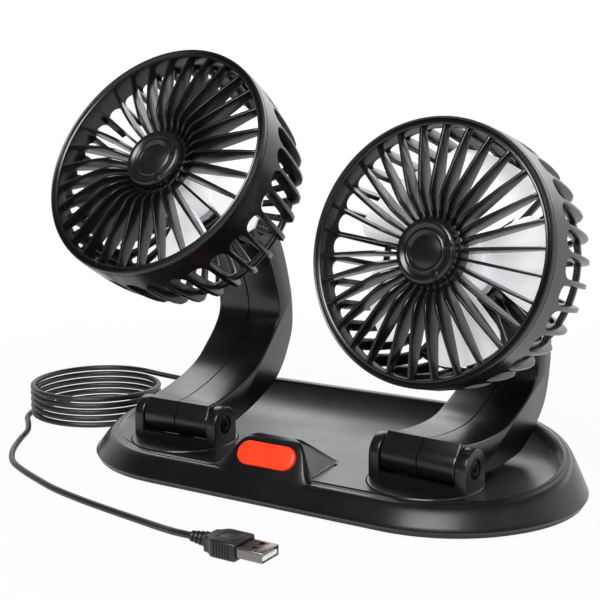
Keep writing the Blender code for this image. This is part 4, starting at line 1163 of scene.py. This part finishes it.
def make_bracket():
    """Turntable with its two ears, the apron under the barrel, and the bored ears' round recesses."""
    top, low = DECK + DISC_RISE, WELL_BOTTOM + FIT
    profile = (
        (STEM_BORE_RADIUS, top),
        (DISC_RADIUS - 0.0010, top),
        (DISC_RADIUS - 0.0004, top - 0.0001),
        (DISC_RADIUS - 0.0001, top - 0.0004),
        (DISC_RADIUS, top - 0.0008),
        (DISC_RADIUS, low),
        (STEM_RADIUS, low),
        (STEM_RADIUS, BOSS_BOTTOM - FIT),
        (STEM_BORE_RADIUS, BOSS_BOTTOM - FIT),
    )
    bracket = lathe(profile, 128, ring=True)
    root = low + LAP
    arch = arc_points((0, HINGE_HEIGHT), EAR_RADIUS, 0, 180, 32)
    outline = [(-EAR_RADIUS, root), (EAR_RADIUS, root), *arch]
    for side in (-1, 1):
        ear = slab(outline, side * EAR_INNER, side * EAR_OUTER)
        cut_with(bracket, soften(ear, 0.0006, 3), "UNION")
    half = EAR_INNER + LAP
    apron = draw_box((-half, -APRON_DEPTH, root), (half, -APRON_BACK, APRON_TOP))
    bore(apron, BARREL_RADIUS + APRON_GAP, -BORE_REACH, BORE_REACH, HINGE_HEIGHT, 96)
    cut_with(bracket, apron, "UNION")
    bore(bracket, PIN_RADIUS + FIT, -BORE_REACH, BORE_REACH, HINGE_HEIGHT)
    for side in (-1, 1):
        inside = side * (EAR_OUTER - PIN_HEAD_HEIGHT - FIT)
        bore(bracket, PIN_HEAD_RADIUS + FIT, inside, side * (EAR_OUTER + OVERRUN), HINGE_HEIGHT)
    return finish_piece(bracket, "abs")


def make_pin(half_length, height):
    """A pin along X: at each end a round head, domed at its edge, with a cross recess."""
    neck = half_length - PIN_HEAD_HEIGHT
    tip = half_length - PIN_SINK
    profile = [
        (0.0004, tip),
        (0.0030, tip),
        (0.0036, tip - 0.0002),
        (PIN_HEAD_RADIUS, tip - 0.0005),
        (PIN_HEAD_RADIUS, neck),
        (PIN_RADIUS, neck),
    ]
    profile += [(radius, -along) for radius, along in profile[::-1]]
    pin = lathe(profile, 48)
    for turn in (0, math.pi):
        cut_cross(pin, PIN_CROSS_RADIUS, PIN_CROSS_DEPTH, tip, turn)
    pin.data.transform(Matrix.Translation((0, 0, height)) @ Matrix.Rotation(math.pi / 2, 4, "Y"))
    return finish_piece(pin, "screw")


def outline_normals(outline):
    """Outward unit normals of a closed outline that runs clockwise."""
    normals = []
    for index in range(len(outline)):
        before, after = outline[index - 1], outline[(index + 1) % len(outline)]
        along = Vector((after[0] - before[0], after[1] - before[1])).normalized()
        normals.append((-along.y, along.x))
    return normals


def make_arm_half(side):
    """Half of the curved arm: barrel, bent blade and knuckle, rounded outside and split down the middle."""
    lines = []
    for shares in (ARM_FRONT_SHARES, ARM_REAR_SHARES):
        lines.append(curve_through([(y * ARM_LENGTH, z * ARM_LENGTH) for y, z in shares], ARM_STEPS))
    front, rear = lines
    outline = arc_points((0, 0), BARREL_RADIUS, -47, -190, 28) + front
    outline += arc_points((0, ARM_LENGTH), KNUCKLE_RADIUS, -110, -285, 28) + rear[::-1]
    normals = outline_normals(outline)
    sections = []
    for x, inset in ARM_EDGE:
        points = [(y - inset * ny, z - inset * nz) for (y, z), (ny, nz) in zip(outline, normals)]
        sections.append([Vector((side * x, y, z)) for y, z in points])
    half = draw_out(sections)
    open_end, wide = -side * OVERRUN, side * (ARM_HALF_WIDTH + OVERRUN)
    pairs = list(zip(front, rear))[ARM_STEPS * POCKET_FIRST : ARM_STEPS * POCKET_LAST + 1]
    pocket = []
    for near, far in pairs + [(far, near) for near, far in pairs[::-1]]:
        pocket.append([a + (b - a) * POCKET_SHARE for a, b in zip(near, far)])
    cut_with(half, slab(pocket, open_end, side * (ARM_HALF_WIDTH - ARM_WALL)))
    bore(half, SLOT_RADIUS, open_end, side * SLOT_HALF_WIDTH, ARM_LENGTH, 96)
    for height in (0, ARM_LENGTH):
        bore(half, PIN_RADIUS + FIT, open_end, wide, height)
    recess = side * (ARM_HALF_WIDTH - PIN_HEAD_HEIGHT - FIT)
    bore(half, PIN_HEAD_RADIUS + FIT, recess, wide, ARM_LENGTH)
    return finish_piece(half, "abs")


def dress_arms():
    """Each side's turntable, arm and the two pins."""
    set_on_sides(make_bracket(), "swivel_bracket", "swivel", "turntable")
    set_on_sides(make_pin(EAR_OUTER, HINGE_HEIGHT), "hinge_pin", "swivel", "turntable")
    set_on_sides(make_pin(ARM_HALF_WIDTH, ARM_LENGTH), "tilt_pin", "fold", "arm")
    set_on_sides(make_arm_half(-1), "arm_left_half", "fold", "arm")
    set_on_sides(make_arm_half(1), "arm_right_half", "fold", "arm")


# Gland and plug


def make_gland():
    """Rubber gland: a collar against the housing, ribbed and tapered out to the cord."""
    # Radius and y, from the cord's end inwards.
    profile = (
        (0.0004, 0.0730),
        (0.0020, 0.0730),
        (0.0023, 0.0727),
        (0.0024, 0.0720),
        (0.0021, 0.0717),
        (0.0021, 0.0712),
        (0.0027, 0.0708),
        (0.0029, 0.0698),
        (0.0025, 0.0694),
        (0.0025, 0.0689),
        (0.0031, 0.0685),
        (0.0034, 0.0676),
        (0.0035, 0.0672),
        (0.0035, 0.0657),
        (0.0033, 0.0654),
        (GLAND_SHAFT_RADIUS, 0.0654),
        (GLAND_SHAFT_RADIUS, 0.0564),
        (0.0033, 0.0564),
        (0.0033, 0.0542),
        (0.0004, 0.0542),
    )
    gland = lathe(profile, 48)
    gland.data.transform(Matrix.Rotation(-math.pi / 2, 4, "X"))
    return finish_piece(gland, "rubber")


def make_boot():
    """Ribbed bend relief at the plug's rear, from the cord at x = 0 to the body."""
    ribs, pitch, small, growth = 4, 0.0022, 0.0023, 0.0009
    # One rib and the groove after it: radius under the rib's own, and distance from the rib's start.
    rib_line = (
        (0.0002, 0.00005),
        (0, 0.0003),
        (0, 0.0011),
        (0.0002, 0.0014),
        (0.0006, 0.0015),
        (0.0006, 0.0020),
    )
    profile = [(0.0004, 0.0)]
    for rib in range(ribs):
        radius = small + growth * rib / (ribs - 1)
        profile += [(radius - lower, pitch * rib + along) for lower, along in rib_line]
    profile += [(0.0026, ribs * pitch), (0.0004, ribs * pitch)]
    boot = lathe(profile, 40)
    boot.data.transform(Matrix.Rotation(math.pi / 2, 4, "Y"))
    return finish_piece(boot, "plug")


def round_box(half_width, half_height, corner, x, steps=5):
    """One section of a bar with rounded corners, square to X."""
    points = []
    for turn, (side_y, side_z) in enumerate(((1, 1), (-1, 1), (-1, -1), (1, -1))):
        for step in range(steps + 1):
            angle = math.pi / 2 * (turn + step / steps)
            y = side_y * (half_width - corner) + corner * math.cos(angle)
            z = side_z * (half_height - corner) + corner * math.sin(angle)
            points.append(Vector((x, y, z)))
    return points


def draw_panel(corners):
    """A box on the body's top that narrows towards the cord."""
    panel = draw_box(*[(BODY_START + x, y, z) for x, y, z in corners])
    reopen(panel)
    pick_points(lambda point: point.x < BODY_START + PANEL_NARROW_END)
    bpy.ops.transform.resize(value=(1, PANEL_NARROW_SHARE, 1), center_override=(BODY_START, 0, 0))
    bpy.ops.object.mode_set(mode="OBJECT")
    return panel


def make_plug_body():
    """Plug body: narrow neck, broad rounded body, a raised panel on top and grip grooves at its sides."""
    stations = [(width, height, BODY_CORNER, BODY_START + along) for along, width, height in BODY_STATIONS]
    body = draw_out([round_box(*station) for station in stations])
    for side in (-1, 1):
        for number in range(GRIPS):
            x = BODY_START + GRIP_START + GRIP_PITCH * number
            low = (x, side * GRIP_SIDES[0], -GRIP_HALF_HEIGHT)
            cut_with(body, draw_box(low, (x + GRIP_WIDTH, side * GRIP_SIDES[1], GRIP_HALF_HEIGHT)))
    cut_with(body, draw_panel(PANEL_RIM))
    cut_with(body, soften(draw_panel(PANEL), PANEL_ROUND), "UNION")
    half, high = SHELL_HALF_WIDTH + FIT, SHELL_HALF_HEIGHT + FIT
    cut_with(body, draw_box((BODY_END - MOUTH_DEPTH, -half, -high), (BODY_END + OVERRUN, half, high)))
    return finish_piece(body, "plug")


def make_plug_shell():
    """Shell of folded sheet with rounded edges, an open mouth and two square holes in each broad side."""
    # How much smaller each section is all round, its corner and its x.
    outside = (
        (0, SHELL_CORNER, SHELL_START),
        (0, SHELL_CORNER, SHELL_END - 0.0002),
        (0.0001, SHELL_CORNER - 0.0001, SHELL_END),
    )
    ends = (SHELL_START + SHELL_SHEET, SHELL_END + OVERRUN)
    inside = [(SHELL_SHEET, SHELL_INNER_CORNER, x) for x in ends]

    def draw_sheet(line):
        """The shell's outside or inside, section by section."""
        half, high = SHELL_HALF_WIDTH, SHELL_HALF_HEIGHT
        return draw_out([round_box(half - less, high - less, corner, x, 3) for less, corner, x in line])

    shell = cut_with(draw_sheet(outside), draw_sheet(inside))
    for side in (-1, 1):
        for y in (-HOLE_SIDE, HOLE_SIDE):
            low = (HOLE_START, y - HOLE_HALF_WIDTH, side * HOLE_FLOOR)
            cut_with(shell, draw_box(low, (HOLE_START + HOLE_LENGTH, y + HOLE_HALF_WIDTH, side * OVERRUN)))
    return finish_piece(shell, "nickel")


def make_plug_insert():
    """The contact carrier, with four sunken contact lanes along its upper side."""
    insert = draw_box(*INSERT)
    start, end = LANE_ENDS
    for lane in range(LANES):
        y = LANE_SIDE + LANE_PITCH * lane
        low, high = (start, y - LANE_HALF_WIDTH, 0), (end, y + LANE_HALF_WIDTH, LANE_CUT_TOP)
        cut_with(insert, draw_box(low, high))
    return finish_piece(soften(insert, INSERT_ROUND), "insert")


def dress_cord_ends():
    """The pieces on the cord: its gland and the plug's four."""
    gland_place = Matrix.Translation((GLAND_END[0], 0, GLAND_END[2]))
    place = Matrix.Translation(PLUG_PLACE)
    return [
        set_once(make_gland(), "cord_gland", "base", gland_place),
        set_once(make_boot(), "plug_boot", "base", place),
        set_once(make_plug_body(), "plug_body", "base", place),
        set_once(make_plug_shell(), "plug_shell", "base", place),
        set_once(make_plug_insert(), "plug_insert", "base", place),
    ]


# Heads, drawn along +Z from the bezel's plane


def make_grille():
    """Front grille: a beaded bezel, a hub ring and thin vanes whose front edges swell like gulls' wings."""
    bezel_profile = (
        (0.0575, -0.0026),
        (0.0575, -0.0010),
        (0.0573, -0.0003),
        (0.0571, 0.0),
        (0.0564, -0.0003),
        (0.0560, -0.0010),
        (0.0556, -0.0013),
        (0.0552, -0.0010),
        (0.0549, -0.0004),
        (0.0544, -0.0002),
        (0.0539, -0.0005),
        (0.0536, -0.0012),
        (0.0536, -0.0070),
        (0.0552, -0.0070),
        (0.0552, -0.0026),
    )
    bezel = lathe(bezel_profile, 180, ring=True)
    hub_profile = ((0.0158, -0.0034), (0.0158, -0.0092), (0.0125, -0.0092), (0.0125, -0.0034))
    hub = soften(lathe(hub_profile, 72, ring=True), 0.0005)
    front = ((0.0146, -0.0035), (0.0194, 0.0008), (0.0242, 0.0029), (0.0390, 0.0017), (0.0546, -0.0009))
    rear = ((0.0146, -0.0090), (0.0546, -0.0052))
    vane = draw_bar(list(zip(smooth_line(front, 14), smooth_line(rear, 14))), VANE_THICKNESS)
    soften(vane, 0.0002)
    spread(vane, VANES, math.pi / VANES)
    return finish_piece(join(bezel, hub, vane), "grille")


def make_band():
    """The cage's smooth band, whose rear edge follows a half circle between each two fins."""
    profile = (
        (0.0576, -0.0029),
        (0.0576, -0.0110),
        (0.0576, -0.0174),
        (0.0573, -0.0176),
        (0.0558, -0.0176),
        (0.0555, -0.0174),
        (0.0555, -0.0110),
        (0.0555, -0.0029),
    )
    band = lathe(profile, BAND_POINTS * FINS, ring=True)
    reopen(band)
    pick_points(lambda point: point.z < BAND_REAR)

    def scallop(point):
        """Lifts a point of the rear edge by the half circle's height there."""
        angle = math.atan2(point.y, point.x) * FINS / (2 * math.pi)
        across = (angle - round(angle)) * 2 * math.pi / FINS * BAND_MIDDLE_RADIUS
        rise = math.sqrt(max(0.0, SCALLOP_RADIUS * SCALLOP_RADIUS - across * across))
        return Vector((point.x, point.y, point.z + rise))

    move_points(scallop)
    bpy.ops.mesh.select_all(action="SELECT")
    bpy.ops.object.mode_set(mode="OBJECT")
    return band


def make_cage():
    """Rear cage: the scalloped band, fins that turn in to a motor cup, a hoop inside them and the neck."""
    # A fin's outer and inner edge, from the band to the cup.
    fin_line = (
        ((0.0575, -0.0125), (0.0520, -0.0125)),
        ((0.0574, -0.0200), (0.0514, -0.0200)),
        ((0.0567, -0.0280), (0.0507, -0.0280)),
        ((0.0557, -0.0350), (0.0497, -0.0345)),
        ((0.0546, -0.0410), (0.0485, -0.0400)),
        ((0.0533, -0.0455), (0.0470, -0.0436)),
        ((0.0511, -0.0487), (0.0450, -0.0458)),
        ((0.0480, -0.0502), (0.0425, -0.0468)),
        ((0.0430, -0.0505), (0.0390, -0.0472)),
        ((0.0330, -0.0506), (0.0320, -0.0474)),
        ((0.0190, -0.0506), (0.0190, -0.0474)),
    )
    hoop_profile = ((0.0492, -0.0446), (0.0492, -0.0474), (0.0464, -0.0474), (0.0464, -0.0446))
    cup_profile = (
        (0.0200, -0.0380),
        (0.0200, -0.0518),
        (0.0010, -0.0518),
        (0.0010, -0.0494),
        (0.0180, -0.0494),
        (0.0180, -0.0380),
    )
    band = make_band()
    fin = spread(soften(draw_bar(fin_line, FIN_THICKNESS), 0.0005), FINS, math.pi / FINS)
    hoop = soften(lathe(hoop_profile, 96, ring=True), 0.0008, 3)
    cup = soften(lathe(cup_profile, 72, ring=True), 0.0006)
    half, high = NECK_HALF_WIDTH, NECK_HALF_HEIGHT
    neck = soften(draw_box((-half, -high, -NECK_REAR), (half, high, -NECK_FRONT)), 0.0012, 3)
    knuckle = soften(draw_rod(KNUCKLE_RADIUS, (-half, 0, -HEAD_REACH), (half, 0, -HEAD_REACH)), 0.0008)
    bore(knuckle, PIN_RADIUS + FIT, -KNUCKLE_BORE_REACH, KNUCKLE_BORE_REACH, -HEAD_REACH, 24)
    cut_with(neck, knuckle, "UNION")
    return finish_piece(join(band, fin, hoop, cup, neck), "grille")


def make_cap():
    """Hub cap: a fat rounded rim, a thin inner ring round a low dark dome, two small pads on the rim."""
    profile = (
        (0.0122, -0.0068),
        (0.0122, -0.0030),
        (0.0144, -0.0030),
        (0.0144, -0.0012),
        (0.0141, 0.0001),
        (0.0134, 0.0010),
        (0.0124, 0.0014),
        (0.0114, 0.0012),
        (0.0106, 0.0007),
        (0.0101, 0.0004),
        (0.0096, 0.0005),
        (0.0092, 0.0010),
        (0.0087, 0.0012),
        (0.0082, 0.0009),
        (0.0077, 0.0002),
        (0.0072, -0.0002),
        (0.0060, 0.0001),
        (0.0040, 0.0005),
        (0.0020, 0.0007),
        (0.0006, 0.0008),
    )
    cap = lathe(profile, 96)
    pads = []
    for degrees in CAP_PAD_ANGLES:
        angle = math.radians(degrees)
        x, y = CAP_PAD_RING * math.cos(angle), CAP_PAD_RING * math.sin(angle)
        low, high = [(x, y, height) for height in CAP_PAD_ENDS]
        pads.append(soften(draw_rod(CAP_PAD_RADIUS, low, high, 32), 0.0004))
    return finish_piece(join(cap, *pads), "grille")


def make_impeller():
    """Five broad twisted blades on a domed hub, moulded in one."""
    hub_profile = (
        (0.0015, -0.0187),
        (0.0015, -0.0338),
        (0.0160, -0.0338),
        (0.0160, -0.0148),
        (0.0155, -0.0136),
        (0.0144, -0.0129),
        (0.0110, -0.0128),
        (0.0015, -0.0128),
    )
    hub = lathe(hub_profile, 72)
    begin(bpy.ops.mesh.primitive_grid_add, x_subdivisions=12, y_subdivisions=10, size=1)

    def blade_place(point):
        """Bends the flat grid to the blade: x runs along its span, y across it."""
        span, share = point.x + 0.5, point.y
        root_taper = ROOT_TAPER_SHARE * (1 - min(1.0, span * 2)) ** 2
        tip_share = max(0.0, (span - TIP_START_SHARE) / (1 - TIP_START_SHARE))
        chord = 1.0 - root_taper - TIP_TAPER_SHARE * tip_share**TIP_CURVE
        radius = BLADE_ROOT + (IMPELLER_RADIUS - BLADE_ROOT) * span
        angle = share * chord * BLADE_ANGLE
        camber = BLADE_CAMBER_SHARE * (0.25 - share * share)
        height = BLADE_MIDDLE + BLADE_DEPTH * chord * (share + camber)
        return Vector((radius * math.cos(angle), radius * math.sin(angle), height))

    move_points(blade_place)
    blade = modify(close_up(), "SOLIDIFY", thickness=BLADE_THICKNESS, offset=0)
    soften(blade, 0.0003)
    spread(blade, BLADES)
    return finish_piece(join(hub, blade), "blade")


def dress_heads():
    """Each side's grille, cage, cap and impeller."""
    set_on_sides(make_grille(), "front_grille", "head", "head")
    set_on_sides(make_cage(), "rear_cage", "head", "head")
    set_on_sides(make_cap(), "hub_cap", "head", "head")
    set_on_sides(make_impeller(), "impeller", "head", "impeller")


# Finishes of the CAD nodes, for those that show themselves

BASE_NODES = {
    "abs": ("base_shell", "base_plate", "button_switch"),
    "rubber": ("base_pad", "cord_gland"),
    "steel": ("base_screw_1", "base_screw_2", "base_screw_3", "base_screw_4"),
    "orange": ("speed_button",),
    "board": ("circuit_board",),
    "plug": ("plug_boot", "plug_body"),
    "nickel": ("plug_shell",),
    "insert": ("plug_insert",),
}
SIDE_NODES = {
    "abs": ("swivel_bracket", "swivel_retainer", "arm_left_half", "arm_right_half"),
    "screw": ("hinge_pin", "tilt_pin"),
    "grille": ("rear_cage", "front_grille", "hub_cap"),
    "steel": ("fan_motor", "motor_shaft"),
    "blade": ("impeller",),
}


def dress_nodes():
    """Gives each rigid CAD node its finish."""
    pairs = [(finish, name) for finish, names in BASE_NODES.items() for name in names]
    for side in REST:
        pairs += [(finish, f"{side}_{name}") for finish, names in SIDE_NODES.items() for name in names]
    for finish, name in pairs:
        materials = frame["nodes"][name].data.materials
        materials.clear()
        materials.append(FINISH[finish])


# Studio

FLOOR_RADIUS = 4
FLOOR_DROP = 0.0001
SOFTLY = {"interpolation_type": "SMOOTHSTEP"}
# How the wall brightens from the front to the back and darkens overhead: axis, then two (place, level) ends.
WALL_LEVELS = (("Y", (-0.35, 0.10), (0.35, 1.0)), ("Z", (0.35, 1.0), (0.80, 0.15)))
ROOM_LEVEL = 0.45
LAMP_AIM = (0, 0, 0.08)
# Each lamp's place, its width and height, and its power in watts.
LAMPS = {
    "key_softbox": ((0.27, -0.92, 0.95), (0.8, 0.6), 21.0),
    "side_softbox": ((1.25, -0.25, 0.65), (0.3, 0.8), 2.5),
    "back_softbox": ((0.0, 1.30, 0.62), (1.8, 0.4), 3.5),
    "high_softbox": ((-0.85, 0.80, 0.85), (0.6, 0.4), 2.6),
}


def rays_seen(material):
    """1 for rays that look at the surround: the camera's, those off gloss and those through clear plastic."""
    path = add_node(material, "ShaderNodeLightPath").outputs
    seen = path["Is Camera Ray"]
    for kind in ("Is Glossy Ray", "Is Transmission Ray"):
        either = {0: seen, 1: path[kind]}
        seen = add_node(material, "ShaderNodeMath", {"operation": "MAXIMUM"}, either).outputs[0]
    return seen


def make_floor():
    """A pale floor, which the camera, gloss and clear plastic see nearly white, and fully so further out."""
    bpy.ops.object.select_all(action="DESELECT")
    place = (0, 0, -FLOOR_DROP)
    bpy.ops.mesh.primitive_circle_add(vertices=64, radius=FLOOR_RADIUS, fill_type="NGON", location=place)
    floor = bpy.context.object
    floor.name = "studio_floor"
    material, shader = start_material("pale_studio_floor", Roughness=0.9, Base_Color=linear("#C9C9C9"))
    place = add_node(material, "ShaderNodeTexCoord").outputs["Object"]
    far = add_node(material, "ShaderNodeVectorMath", {"operation": "LENGTH"}, {0: place}).outputs["Value"]
    span = {"Value": far, "From Min": 0.10, "From Max": 0.60, "To Min": 0.95, "To Max": 1.0}
    fade = add_node(material, "ShaderNodeMapRange", SOFTLY, span).outputs["Result"]
    part = add_node(material, "ShaderNodeMath", {"operation": "MULTIPLY"}, {0: rays_seen(material), 1: fade})
    glow = add_node(material, "ShaderNodeEmission", None, {"Color": (1, 1, 1, 1), "Strength": 1.0})
    both = {0: part.outputs[0], 1: shader.outputs["BSDF"], 2: glow.outputs["Emission"]}
    mixed = add_node(material, "ShaderNodeMixShader", None, both)
    link(material, mixed.outputs["Shader"], material.node_tree.nodes["Material Output"].inputs["Surface"])
    floor.data.materials.append(material)


def make_world():
    """A white surround for the camera, darker in front and overhead for gloss, and dim for matt surfaces."""
    world = bpy.data.worlds.new("studio_world")
    bpy.context.scene.world = world
    world.use_nodes = True
    way = add_node(world, "ShaderNodeTexCoord").outputs["Generated"]
    parts = add_node(world, "ShaderNodeSeparateXYZ", None, {"Vector": way}).outputs
    walls = {}
    for slot, (axis, start, end) in enumerate(WALL_LEVELS):
        span = {"Value": parts[axis], "From Min": start[0], "From Max": end[0]}
        span.update({"To Min": start[1], "To Max": end[1]})
        walls[slot] = add_node(world, "ShaderNodeMapRange", SOFTLY, span).outputs["Result"]
    wall = add_node(world, "ShaderNodeMath", {"operation": "MULTIPLY"}, walls).outputs[0]
    camera = add_node(world, "ShaderNodeLightPath").outputs["Is Camera Ray"]
    level = add_node(world, "ShaderNodeMath", {"operation": "MAXIMUM"}, {0: camera, 1: wall}).outputs[0]
    room = add_node(world, "ShaderNodeBackground", None, {"Color": (1, 1, 1, 1), "Strength": ROOM_LEVEL})
    white = add_node(world, "ShaderNodeBackground", None, {"Color": (1, 1, 1, 1), "Strength": level})
    both = {0: rays_seen(world), 1: room.outputs["Background"], 2: white.outputs["Background"]}
    mixed = add_node(world, "ShaderNodeMixShader", None, both)
    link(world, mixed.outputs["Shader"], world.node_tree.nodes["World Output"].inputs["Surface"])


def place_towards(name, data, place, aim):
    """Sets a lamp or camera in its place, turned to what it looks at."""
    thing = bpy.data.objects.new(name, data)
    bpy.context.scene.collection.objects.link(thing)
    thing.location = place
    thing.rotation_euler = (Vector(aim) - Vector(place)).to_track_quat("-Z", "Y").to_euler()
    return thing


def make_lamps():
    """Soft boxes: the key high in front, the others from the right and behind."""
    for name, (place, (width, height), power) in LAMPS.items():
        light = bpy.data.lights.new(name, "AREA")
        light.shape = "RECTANGLE"
        light.size = width
        light.size_y = height
        light.energy = power
        place_towards(name, light, place, LAMP_AIM)


def make_camera():
    """The camera, where the picture was taken from."""
    data = bpy.data.cameras.new("camera")
    data.lens = CAMERA_LENS
    data.sensor_width = SENSOR_WIDTH
    data.clip_start = 0.01
    data.clip_end = 20
    bpy.context.scene.camera = place_towards("camera", data, CAMERA_PLACE, CAMERA_AIM)


bpy.context.scene.view_settings.view_transform = "Standard"
dress_nodes()
make_cord(dress_cord_ends())
dress_base()
dress_arms()
dress_heads()
make_floor()
make_world()
make_lamps()
make_camera()
